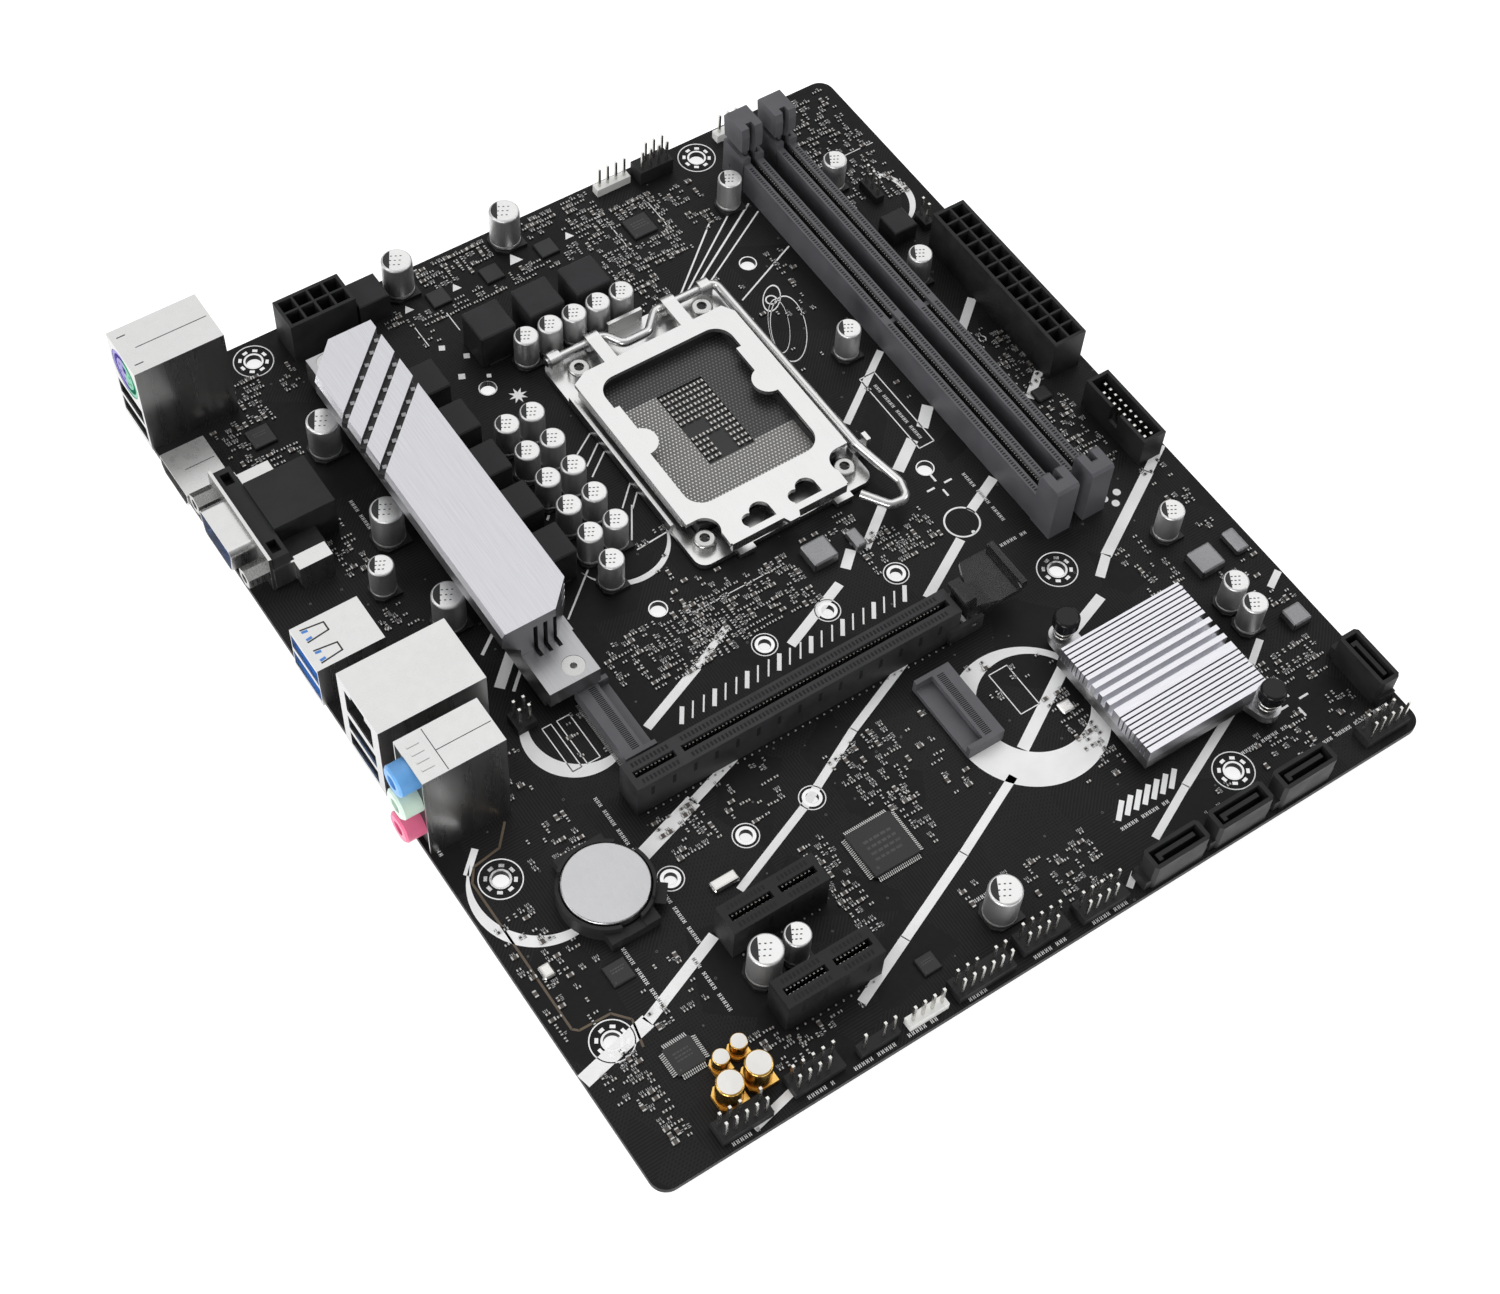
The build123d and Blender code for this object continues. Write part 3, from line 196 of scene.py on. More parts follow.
def ramp(tree, factor, stops, hard=False):
    node = tree.nodes.new("ShaderNodeValToRGB")
    node.color_ramp.interpolation = "CONSTANT" if hard else "LINEAR"
    while len(node.color_ramp.elements) < len(stops):
        node.color_ramp.elements.new(0.5)
    for element, (position, colour) in zip(node.color_ramp.elements, stops):
        element.position = position
        element.color = (*colour, 1) if not isinstance(colour, float) else (colour, colour, colour, 1)
    tree.links.new(factor, node.inputs["Fac"])
    return node.outputs["Color"]


def blendColours(tree, factor, first, second):
    node = tree.nodes.new("ShaderNodeMix")
    node.data_type = "RGBA"
    tree.links.new(factor, node.inputs["Factor"])
    for socket, value in ((node.inputs[6], first), (node.inputs[7], second)):
        if isinstance(value, tuple):
            socket.default_value = (*value, 1)
        else:
            tree.links.new(value, socket)
    return node.outputs[2]


def spread(tree, factor, low, high, fromLow=0.3, fromHigh=0.7):
    node = tree.nodes.new("ShaderNodeMapRange")
    node.inputs["From Min"].default_value = fromLow
    node.inputs["From Max"].default_value = fromHigh
    node.inputs["To Min"].default_value = low
    node.inputs["To Max"].default_value = high
    tree.links.new(factor, node.inputs["Value"])
    return node.outputs["Result"]


def bump(tree, shader, height, depth, strength=1.0):
    node = tree.nodes.new("ShaderNodeBump")
    node.inputs["Distance"].default_value = depth * mm
    node.inputs["Strength"].default_value = strength
    tree.links.new(height, node.inputs["Height"])
    tree.links.new(node.outputs["Normal"], shader.inputs["Normal"])


def mouldedPlastic(name, colour, rough=0.5, grain=5000, depth=0.012, tone=0.25, specular=0.4):
    # fine moulded grain, with slow patches of lighter and duller skin
    mat, tree, shader = newFinish(name, colour, rough, specular=specular)
    where = place(tree)
    patches = noise(tree, where, 180.0)
    dark = tuple(c * (1 - tone) for c in colour)
    light = tuple(min(1.0, c * (1 + tone)) for c in colour)
    tree.links.new(ramp(tree, patches, [(0.3, dark), (0.7, light)]), shader.inputs["Base Color"])
    tree.links.new(spread(tree, patches, rough - 0.08, rough + 0.1), shader.inputs["Roughness"])
    bump(tree, shader, noise(tree, where, grain, 2.0), depth)
    return mat


def brushedMetal(name, colour, rough, stretch=(1, 0.02, 1), lines=9000, depth=0.004, tone=0.1, uneven=0.08):
    # drawn or brushed metal: fine lines one way, and a slow change of shade
    mat, tree, shader = newFinish(name, colour, rough, metal=1.0)
    strokes = noise(tree, place(tree, stretch), lines, 2.0)
    slow = noise(tree, place(tree), 60.0)
    dark = tuple(c * (1 - tone) for c in colour)
    light = tuple(min(1.0, c * (1 + tone)) for c in colour)
    shade = sums(tree, "ADD", sums(tree, "MULTIPLY", strokes, 0.6), sums(tree, "MULTIPLY", slow, 0.4))
    tree.links.new(ramp(tree, shade, [(0.38, dark), (0.62, light)]), shader.inputs["Base Color"])
    tree.links.new(spread(tree, strokes, rough - uneven, rough + uneven), shader.inputs["Roughness"])
    bump(tree, shader, strokes, depth)
    return mat


def boardLacquer():
    # black solder mask over copper: runs of parallel traces, and small plated through-holes
    mat, tree, shader = newFinish("black board lacquer", (0.012, 0.012, 0.013), 0.42, specular=0.12)
    where = place(tree)
    cells = tree.nodes.new("ShaderNodeTexVoronoi")
    cells.inputs["Scale"].default_value = 55.0
    tree.links.new(where, cells.inputs["Vector"])
    pick = tree.nodes.new("ShaderNodeSeparateColor")
    tree.links.new(cells.outputs["Color"], pick.inputs["Color"])
    runs = []
    for turn, channel in ((45.0, "Red"), (0.0, "Green"), (90.0, "Blue")):
        wave = tree.nodes.new("ShaderNodeTexWave")
        wave.inputs["Scale"].default_value = 420.0
        tree.links.new(place(tree, turn=turn), wave.inputs["Vector"])
        line = ramp(tree, wave.outputs["Fac"], [(0.0, 0.0), (0.62, 1.0)], hard=True)
        runs.append(sums(tree, "MULTIPLY", line, sums(tree, "GREATER_THAN", pick.outputs[channel], 0.62)))
    copper = sums(tree, "MAXIMUM", sums(tree, "MAXIMUM", runs[0], runs[1]), runs[2])
    holes = tree.nodes.new("ShaderNodeTexVoronoi")
    holes.inputs["Scale"].default_value = 260.0
    tree.links.new(place(tree, (1, 1, 0)), holes.inputs["Vector"])
    some = tree.nodes.new("ShaderNodeSeparateColor")
    tree.links.new(holes.outputs["Color"], some.inputs["Color"])
    plated = ramp(tree, holes.outputs["Distance"], [(0.0, 0.0), (0.045, 1.0), (0.085, 0.0)], hard=True)
    plated = sums(tree, "MULTIPLY", plated, sums(tree, "GREATER_THAN", some.outputs["Red"], 0.55))
    base = blendColours(tree, copper, (0.0105, 0.0100, 0.0105), (0.0175, 0.0168, 0.0172))
    base = blendColours(tree, plated, base, (0.10, 0.10, 0.10))
    tree.links.new(base, shader.inputs["Base Color"])
    tree.links.new(spread(tree, noise(tree, where, 900.0), 0.36, 0.5), shader.inputs["Roughness"])
    bump(tree, shader, copper, 0.012, 0.6)
    return mat


def twoLevels(name, height, low, high, lowMetal=0.0, highMetal=1.0, lowRough=0.5, highRough=0.25, lines=4000):
    # one finish below a height above the board and another over it
    mat, tree, shader = newFinish(name, high, highRough, metal=highMetal)
    where = place(tree)
    level = split(tree, where)[2]
    above = sums(tree, "GREATER_THAN", level, boardHigh.z + height * mm)
    grain = noise(tree, where, lines, 2.0)
    shade = ramp(tree, grain, [(0.35, tuple(c * 0.88 for c in high)), (0.65, high)])
    tree.links.new(blendColours(tree, above, low, shade), shader.inputs["Base Color"])
    tree.links.new(spread(tree, above, lowMetal, highMetal, 0, 1), shader.inputs["Metallic"])
    rough = spread(tree, above, lowRough, highRough, 0, 1)
    rough = sums(tree, "ADD", rough, sums(tree, "MULTIPLY", grain, 0.08))
    tree.links.new(rough, shader.inputs["Roughness"])
    bump(tree, shader, grain, 0.004)
    return mat


def contactFieldFinish():
    # rows of fine gold springs in a moulded bed, staggered from row to row
    mat, tree, shader = newFinish("socket contact field", (0.2, 0.2, 0.2), 0.4)
    axes = split(tree, place(tree))
    pitch = 0.95 * mm
    across, along = sums(tree, "DIVIDE", axes[0], pitch), sums(tree, "DIVIDE", axes[1], pitch)
    # a large even number is added, so that remainders stay positive
    row = sums(tree, "ADD", sums(tree, "FLOOR", along, 0), 1000.0)
    stagger = sums(tree, "MULTIPLY", sums(tree, "MODULO", row, 2.0), 0.5)
    u = sums(tree, "ADD", sums(tree, "ADD", across, stagger), 1000.0)
    u = sums(tree, "SUBTRACT", sums(tree, "FRACT", u, 0), 0.5)
    v = sums(tree, "FRACT", sums(tree, "ADD", along, 1000.0), 0)
    v = sums(tree, "SUBTRACT", v, 0.5)
    away = sums(tree, "ADD", sums(tree, "ABSOLUTE", u, 0), sums(tree, "ABSOLUTE", v, 0))
    tip = sums(tree, "LESS_THAN", away, 0.3)
    # the springs of the two halves lean opposite ways and catch the light differently, so one half of springs
    # and bed is painted lighter: a painted reflection
    corner = at(110.4, 149.4)
    lowHalf = sums(tree, "LESS_THAN", axes[1], corner.y)
    leftHalf = sums(tree, "MULTIPLY", sums(tree, "LESS_THAN", axes[0], corner.x),
                    sums(tree, "LESS_THAN", axes[1], at(0, 173.0).y))
    # the half that gets the painted reflection
    side = sums(tree, "MAXIMUM", lowHalf, leftHalf)
    bright = blendColours(tree, side, (0.15, 0.148, 0.145), (0.62, 0.61, 0.59))
    bed = blendColours(tree, side, (0.020, 0.020, 0.021), (0.16, 0.158, 0.155))
    tree.links.new(blendColours(tree, tip, bed, bright), shader.inputs["Base Color"])
    tree.links.new(spread(tree, tip, 0.0, 0.8, 0, 1), shader.inputs["Metallic"])
    bump(tree, shader, tip, 0.12)
    return mat


def splitAcross(name, middle, below, above, rough=0.35):
    # two colours of plastic meeting on a line along the board's depth
    mat, tree, shader = newFinish(name, above, rough)
    where = place(tree)
    over = sums(tree, "GREATER_THAN", split(tree, where)[1], at(0, middle).y)
    patches = noise(tree, where, 700.0)
    shades = [ramp(tree, patches, [(0.3, tuple(c * 0.8 for c in tone)), (0.7, tone)])
              for tone in (below, above)]
    tree.links.new(blendColours(tree, over, *shades), shader.inputs["Base Color"])
    bump(tree, shader, noise(tree, where, 4000.0), 0.01)
    return mat


def heatsinkAluminium(name, stretch, level, upper, lower):
    # brushed and bright above a level, a darker grey below it; on the chipset fins the darker lower sides are
    # painted shade
    mat, tree, shader = newFinish(name, (upper, upper, upper), 0.34, metal=1.0)
    strokes = noise(tree, place(tree, stretch), 7000, 2.0)
    over = sums(tree, "GREATER_THAN", split(tree, place(tree))[2], boardHigh.z + level * mm)
    shades = []
    for grey, darkBlue, lightBlue in ((lower, 0.95, 1.1), (upper, 0.965, 1.135)):
        dark, light = grey * 0.92, grey * 1.08
        stops = [(0.38, (dark, dark, grey * darkBlue)), (0.62, (light, light, grey * lightBlue))]
        shades.append(ramp(tree, strokes, stops))
    tree.links.new(blendColours(tree, over, *shades), shader.inputs["Base Color"])
    tree.links.new(spread(tree, strokes, 0.28, 0.43), shader.inputs["Roughness"])
    bump(tree, shader, strokes, 0.004)
    return mat


def smokyClip():
    mat, tree, shader = newFinish("smoky clip plastic", (0.5, 0.5, 0.5), 0.12)
    shader.inputs["Transmission Weight"].default_value = 0.92
    shader.inputs["IOR"].default_value = 1.35
    where = place(tree)
    haze = noise(tree, where, 500.0)
    smoke = ramp(tree, haze, [(0.3, (0.13, 0.13, 0.135)), (0.7, (0.20, 0.20, 0.205))])
    tree.links.new(smoke, shader.inputs["Base Color"])
    tree.links.new(spread(tree, haze, 0.08, 0.18), shader.inputs["Roughness"])
    bump(tree, shader, noise(tree, where, 1200.0), 0.003)
    return mat


finishes = {
    "board": boardLacquer(),
    "port_metal": brushedMetal("port can nickel", (0.59, 0.59, 0.585), 0.28, (1, 1, 0.05), 420, 0.0002,
                               tone=0.03, uneven=0.02),
    "port_plastic": mouldedPlastic("port insert black", (0.018, 0.018, 0.019)),
    "usb3_plastic": mouldedPlastic("fast port insert blue", (0.07, 0.25, 0.68), 0.4, tone=0.12),
    "ps2_plastic": splitAcross("keyboard port face", 233.45, (0.05, 0.42, 0.24), (0.17, 0.13, 0.50)),
    "vga_plastic": mouldedPlastic("screen port insert blue", (0.03, 0.12, 0.42), 0.4, tone=0.12),
    "jack_blue": mouldedPlastic("line-in jack blue", (0.13, 0.36, 0.72), 0.32, tone=0.12),
    "jack_green": mouldedPlastic("line-out jack green", (0.62, 0.78, 0.66), 0.32, tone=0.1),
    "jack_pink": mouldedPlastic("microphone jack pink", (0.80, 0.16, 0.30), 0.32, tone=0.12),
    "nut_metal": brushedMetal("jack nut steel", (0.50, 0.50, 0.49), 0.3, (1, 1, 0.1), 3000),
    "connector_black": mouldedPlastic("connector black nylon", (0.021, 0.021, 0.022), 0.5, specular=0.22),
    "card_slot": mouldedPlastic("graphics slot black nylon", (0.034, 0.034, 0.036), 0.5, specular=0.25),
    "connector_grey": mouldedPlastic("memory slot grey nylon", (0.105, 0.105, 0.115), 0.45, tone=0.12,
                                     specular=0.35),
    "connector_white": mouldedPlastic("fan header white nylon", (0.88, 0.88, 0.86), 0.45, tone=0.08),
    "contact_metal": brushedMetal("contact tin", (0.62, 0.61, 0.59), 0.3, (1, 1, 0.1), 5000),
    "pin_metal": brushedMetal("header pin tin", (0.66, 0.65, 0.62), 0.26, (1, 1, 0.1), 5000),
    "latch_clear": smokyClip(),
    "socket_plastic": mouldedPlastic("socket body black", (0.022, 0.022, 0.023), 0.45),
    "contact_field": contactFieldFinish(),
    "socket_steel": brushedMetal("socket nickel steel", (0.66, 0.66, 0.655), 0.28, (1, 0.3, 1), 500, 0.0003,
                                 tone=0.02, uneven=0.02),
    "steel_dark": mouldedPlastic("back plate black steel", (0.02, 0.02, 0.021), 0.35, 1500, 0.02),
    "heatsink_metal": heatsinkAluminium("heatsink brushed aluminium", (1, 0.012, 1), 10.2, 0.546, 0.405),
    # the fins are painted darker below 5.4 mm above the board: painted shade on their lower sides
    "fin_metal": heatsinkAluminium("chipset fins aluminium", (0.03, 1, 1), 5.4, 0.71, 0.5),
    "pad_grey": mouldedPlastic("thermal pad", (0.20, 0.20, 0.21), 0.8, 1500, 0.03),
    "choke_black": mouldedPlastic("choke pressed powder", (0.026, 0.026, 0.028), 0.62, 3500, 0.03, 0.3, 0.3),
    "chip_black": mouldedPlastic("chip package", (0.024, 0.024, 0.025), 0.5, 4500, 0.012),
    "can_metal": twoLevels("capacitor can aluminium", 1.25, (0.012, 0.012, 0.012), (0.80, 0.80, 0.80),
                           highRough=0.42),
    "can_gold": twoLevels("audio capacitor gold", 0.6, (0.25, 0.13, 0.02), (0.80, 0.50, 0.14), highRough=0.2),
    "pin_black": mouldedPlastic("push pin black nylon", (0.008, 0.008, 0.009), 0.22, tone=0.1, specular=0.25),
    "spring_steel": brushedMetal("pin spring steel", (0.6, 0.59, 0.57), 0.3, (1, 1, 0.1), 4000),
    "package_green": mouldedPlastic("chip carrier green", (0.02, 0.07, 0.035), 0.4),
    "cell_steel": brushedMetal("coin cell steel", (0.47, 0.47, 0.48), 0.33, (1, 0.2, 1), 2500, 0.003, 0.05),
    "solder": brushedMetal("solder", (0.72, 0.72, 0.72), 0.28, (1, 1, 1), 1500, 0.02),
}

for part in frame["record"]["subparts"]:
    for socket in nodes[part["node"]].material_slots:
        socket.material = finishes["card_slot" if part["node"] == "pcie_x16_slot" else part["material_slot"]]
print("finishes on", len(nodes), "nodes")


# modelling

def clear():
    bpy.ops.object.select_all(action="DESELECT")


def settle(piece, name=None):
    # the place, turn and size go into the mesh
    clear()
    piece.select_set(True)
    bpy.context.view_layer.objects.active = piece
    bpy.ops.object.transform_apply(location=True, rotation=True, scale=True)
    if name:
        piece.name = piece.data.name = name
    return piece


def press(piece, kind, **settings):
    clear()
    bpy.context.view_layer.objects.active = piece
    piece.select_set(True)
    modifier = piece.modifiers.new(kind.title(), kind)
    for key, value in settings.items():
        setattr(modifier, key, value)
    bpy.ops.object.modifier_apply(modifier=modifier.name)
    return piece


def joined(pieces, name):
    clear()
    for piece in pieces:
        piece.select_set(True)
    bpy.context.view_layer.objects.active = pieces[0]
    if len(pieces) > 1:
        bpy.ops.object.join()
    pieces[0].name = pieces[0].data.name = name
    return pieces[0]


def copiesOf(piece, spots, name):
    # spots: places with a turn in degrees, in the board's own directions
    made = []
    for spot, turn in spots:
        twin = piece.copy()
        twin.data = piece.data.copy()
        twin.data.transform(Matrix.Translation(spot) @ Matrix.Rotation(math.radians(turn), 4, "Z"))
        bpy.context.collection.objects.link(twin)
        made.append(twin)
    bpy.data.objects.remove(piece)
    return joined(made, name)


def painted(piece, *mats):
    piece.data.materials.clear()
    for mat in mats:
        piece.data.materials.append(mat)
    return piece


def blockAt(x, y, z, mat, ease=0.0):
    # a block from its low and high sides; at the origin when it is to be copied
    clear()
    middle = at(*[(low + high) / 2 for low, high in (x, y, z)])
    bpy.ops.mesh.primitive_cube_add(size=1, location=middle)
    piece = bpy.context.object
    piece.scale = ((x[1] - x[0]) * mm, (y[1] - y[0]) * mm, (z[1] - z[0]) * mm)
    settle(piece)
    if ease:
        press(piece, "BEVEL", width=ease * mm, segments=1)
    return painted(piece, mat)


def looseBlock(x, y, z, mat, ease=0.0):
    piece = blockAt(x, y, z, mat, ease)
    piece.data.transform(Matrix.Translation(-at(0, 0, 0)))
    return piece


def onBoard(piece, body="board"):
    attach(piece, body)
    return piece


def solidsOf(name):
    # low and high corners of each separate solid in a node, in board millimetres
    mesh = bmesh.new()
    mesh.from_mesh(nodes[name].data)
    bmesh.ops.remove_doubles(mesh, verts=mesh.verts, dist=1e-6)
    left, found = set(mesh.verts), []
    while left:
        seed = left.pop()
        stack, island = [seed], [seed]
        while stack:
            for edge in stack.pop().link_edges:
                for vert in edge.verts:
                    if vert in left:
                        left.discard(vert)
                        stack.append(vert)
                        island.append(vert)
        spots = [(vert.co - at(0, 0, 0)) / mm for vert in island]
        low = [min(where[k] for where in spots) for k in range(3)]
        high = [max(where[k] for where in spots) for k in range(3)]
        found.append((low, high))
    mesh.free()
    return sorted(found)


# small soldered parts, placed only where the bare board shows

partPatches = [
    # x from, x to, y from, y to, share of places filled
    (14, 20, 205, 223, 0.5), (19, 30, 206, 211, 0.8), (20, 29, 219, 223, 0.8), (24, 32, 224, 233, 0.7),
    (36, 41, 225, 233, 0.6), (67, 73, 229, 234, 0.6), (80, 103, 234.5, 243, 0.75),
    (111, 123, 234.5, 243, 0.75), (72, 122, 225, 229, 0.7), (72, 76, 219, 225, 0.5),
    (124, 148, 212, 222, 0.75), (124, 134, 200, 212, 0.6), (124, 133, 221, 243, 0.7),
    (143, 148, 220, 234, 0.75), (129, 148, 228, 234, 0.8), (146, 160, 226, 233, 0.6),
    (152, 162, 215, 223, 0.6), (188, 208, 218, 242, 0.62), (189, 207, 199, 215, 0.5),
    (186, 190, 176, 189, 0.5), (22, 28, 168, 184, 0.6), (37, 41, 140, 200, 0.55),
    (22, 30, 150, 157, 0.4), (66, 88, 103, 119, 0.72), (80, 113, 104, 119, 0.7),
    (128, 148, 102, 113, 0.65), (88, 104, 48, 68, 0.5), (70, 76, 26, 52, 0.6), (93, 100, 36, 52, 0.55),
    (46, 57, 63, 74, 0.6), (140, 146, 28, 54, 0.6), (184, 205, 24, 34, 0.55), (180, 190, 60, 78, 0.45),
    (201, 208, 70, 96, 0.35), (2, 12, 40, 62, 0.4), (9, 14, 8, 34, 0.7), (4, 8, 18, 30, 0.35),
    (35, 44, 8, 19, 0.6), (44, 60, 12, 19, 0.45), (94, 105, 19, 24, 0.5), (108, 126, 8, 21, 0.5),
    (153, 162, 3, 12, 0.3), (172, 208, 9, 18, 0.4), (18, 31, 76, 88, 0.4), (60, 66, 108, 120, 0.5),
    (196, 210, 44, 60, 0.3), (189, 204, 127, 150, 0.55), (190, 199, 97, 122, 0.55),
    (14, 30, 52, 60, 0.35), (60, 76, 62, 76, 0.25), (108, 116, 42, 66, 0.25), (20, 34, 30, 45, 0.3),
    (3, 12, 62, 72, 0.4), (130, 150, 58, 70, 0.15), (128, 152, 28, 34, 0.1), (60, 92, 4, 9, 0.0),
    (82, 98, 120, 132, 0.15), (146, 166, 178, 200, 0.12), (148, 166, 140, 170, 0.1),
    (40, 58, 92, 118, 0.2), (19, 33, 96, 108, 0.3), (11, 30, 140, 156, 0.25),
    (116, 132, 116, 122, 0.5), (84, 92, 125, 150, 0.1)]
partStep = {"x": 1.75, "y": 1.75, "jitter": 0.12}
smallPart = {"length": 1.05, "width": 0.55, "height": 0.4, "end": 0.27}
widerPart = {"length": 1.65, "width": 0.88, "height": 0.58, "end": 0.35}


def boardIsBare(x, y, reach=1.0):
    graph = bpy.context.evaluated_depsgraph_get()
    for side in (-reach, 0, reach):
        for end in (-reach, 0, reach):
            found = bpy.context.scene.ray_cast(graph, at(x + side, y + end, 60), Vector((0, 0, -1)))
            if not found[0] or found[4].name != "printed_circuit_board":
                return False
    return True


def endedPart(shape, bodyMat, endMat):
    half, side, end = shape["length"] / 2, shape["width"] / 2, shape["end"]
    core = looseBlock((-half + end, half - end), (-side, side), (0.02, shape["height"] * 0.96), bodyMat)
    ends = [looseBlock((way - end / 2, way + end / 2), (-side, side), (0.0, shape["height"]), endMat)
            for way in (-half + end / 2, half - end / 2)]
    return joined([core] + ends, "part")


def refMark(bars, mat):
    # a few short printed ticks beside a part, standing in for its printed number
    made = [looseBlock((k * 0.42 - 0.6, k * 0.42 - 0.42), (-0.36 * tall, 0.36 * tall), (0.0, 0.03), mat)
            for k, tall in enumerate(bars)]
    made.append(looseBlock((-0.6, -0.42 + 0.42 * (len(bars) - 2)), (-0.3, -0.14), (0.0, 0.03), mat))
    return joined(made, "mark")


def placeSmallParts():
    spots, marks = [], []
    for left, right, low, high, share in partPatches:
        y = low
        while y < high:
            x = left
            turn = dice.choice((0, 0, 90))
            run = dice.randint(2, 5)
            while x < right:
                if dice.random() < share:
                    px = x + dice.uniform(-1, 1) * partStep["jitter"]
                    py = y + dice.uniform(-1, 1) * partStep["jitter"]
                    if boardIsBare(px, py):
                        spots.append((at(px, py), turn))
                        if dice.random() < 0.45 and boardIsBare(px, py + 1.1, 0.7):
                            marks.append((at(px, py + (0.95 if turn == 0 else 0.0), 0.0) + Vector(
                                (0.0 if turn == 0 else 0.95 * mm, 0, 0)), turn))
                run -= 1
                if run == 0:
                    turn = dice.choice((0, 0, 90))
                    run = dice.randint(2, 5)
                x += partStep["x"]
            y += partStep["y"]
    return spots, marks


partSpots, markSpots = placeSmallParts()
print("small parts:", len(partSpots), "marks:", len(markSpots))

ceramicTan = mouldedPlastic("ceramic capacitor tan", (0.088, 0.074, 0.064), 0.5, 3000)
resistorBlack = mouldedPlastic("resistor black", (0.02, 0.02, 0.022), 0.45, 3000)
ink = mouldedPlastic("white printed ink", (0.94, 0.94, 0.94), 0.6, 4500, 0.006, 0.04, 0.2)
darkInk = mouldedPlastic("dark printed ink", (0.02, 0.02, 0.022), 0.5, 4500, 0.006)
tin = finishes["solder"]
dullTin = brushedMetal("dull part end tin", (0.50, 0.50, 0.49), 0.42, (1, 1, 1), 2500, 0.006, 0.12)
chipInk = mouldedPlastic("chip laser mark", (0.085, 0.085, 0.085), 0.6, 4500, 0.003, 0.2, 0.2)
markInk = mouldedPlastic("fine printed ink", (0.40, 0.40, 0.40), 0.6, 4500, 0.006, 0.1, 0.2)
brownInk = mouldedPlastic("bare copper line", (0.115, 0.085, 0.055), 0.4, 2500, 0.006, 0.15)
seamShade = mouldedPlastic("seam shadow", (0.03, 0.03, 0.03), 0.6)
deepShade = mouldedPlastic("heatsink slot painted shade", (0.012, 0.012, 0.013), 0.5)
ribGrey = brushedMetal("heatsink slot ribs", (0.30, 0.30, 0.31), 0.45)
crystalMetal = brushedMetal("crystal can", (0.66, 0.65, 0.63), 0.3, (0.1, 1, 1), 2500, 0.003, 0.06)
ferriteGrey = brushedMetal("shielded choke", (0.31, 0.31, 0.32), 0.5, (1, 1, 1), 2500, 0.01, 0.15)

third = len(partSpots) // 3
dice.shuffle(partSpots)
lastGroup = 2 * third + third // 2
partGroups = (("ceramic_capacitors", smallPart, ceramicTan, partSpots[:third]),
              ("chip_resistors", smallPart, resistorBlack, partSpots[third:lastGroup]),
              ("wide_ceramic_capacitors", widerPart, ceramicTan, partSpots[lastGroup:]))
for name, shape, mat, spots in partGroups:
    onBoard(copiesOf(endedPart(shape, mat, dullTin), spots, name))
markShapes = ((1.0, 0.8, 1.0), (1.0, 1.0, 0.7, 1.0), (0.8, 1.0))
for number, bars in enumerate(markShapes):
    group = markSpots[number::3]
    onBoard(copiesOf(refMark(bars, markInk), group, "printed_marks_%d" % (number + 1)))
print("small parts placed")


# printed bands and shapes

inkHeight = 0.03
bands = [
    # x, y, x, y, width
    (58.3, 95.6, 76.7, 103.1, 2.2), (76.7, 103.1, 89.2, 109.0, 1.7), (98.9, 96.6, 118.2, 104.6, 2.4),
    (122.2, 107.6, 126.3, 111.2, 2.6), (129.6, 109.8, 140.6, 117.9, 2.4),
    (133.9, 90.3, 150.5, 99.6, 2.4), (157.8, 105.3, 168.4, 110.2, 2.5),
    (147.6, 143.2, 168.2, 157.6, 1.9), (150.0, 124.6, 158.4, 130.3, 3.0),
    (163.0, 132.3, 168.0, 136.9, 3.0), (190.4, 152.6, 198.5, 159.3, 2.4),
    (191.4, 125.4, 198.5, 130.9, 2.3), (39.5, 68.4, 56.5, 73.8, 3.6), (56.5, 73.8, 70.5, 78.3, 2.2),
    (53.0, 49.7, 76.7, 59.2, 1.9), (76.7, 59.2, 97.8, 69.8, 2.0), (97.8, 69.8, 118.3, 78.3, 2.0),
    (0.4, 30.0, 18.9, 34.2, 3.6), (18.9, 34.2, 41.8, 43.4, 2.6), (60.0, 13.1, 76.7, 20.3, 2.3),
    (76.7, 20.3, 100.0, 30.3, 2.2), (100.0, 30.3, 121.3, 40.1, 2.1), (127.8, 44.8, 151.0, 58.3, 2.9),
    (153.3, 62.6, 169.0, 68.3, 2.6), (172.6, 73.0, 177.8, 77.2, 2.4), (177.8, 77.2, 202.2, 91.4, 2.8),
    (202.2, 91.4, 210.2, 96.2, 2.4), (138.9, 10.2, 153.3, 17.0, 1.9), (153.3, 17.0, 177.8, 27.8, 2.1),
    (186.5, 33.6, 193.6, 38.4, 1.8), (205.6, 48.6, 210.2, 51.2, 1.8), (126.1, 3.6, 129.4, 5.8, 1.6),
    (4.4, 85.0, 9.2, 89.6, 1.6), (35.4, 122.8, 43.4, 130.4, 2.6), (37.6, 120.2, 43.6, 125.9, 0.8),
    (36.6, 132.6, 43.0, 137.4, 0.8), (24.5, 1.9, 36.0, 4.4, 2.0)]
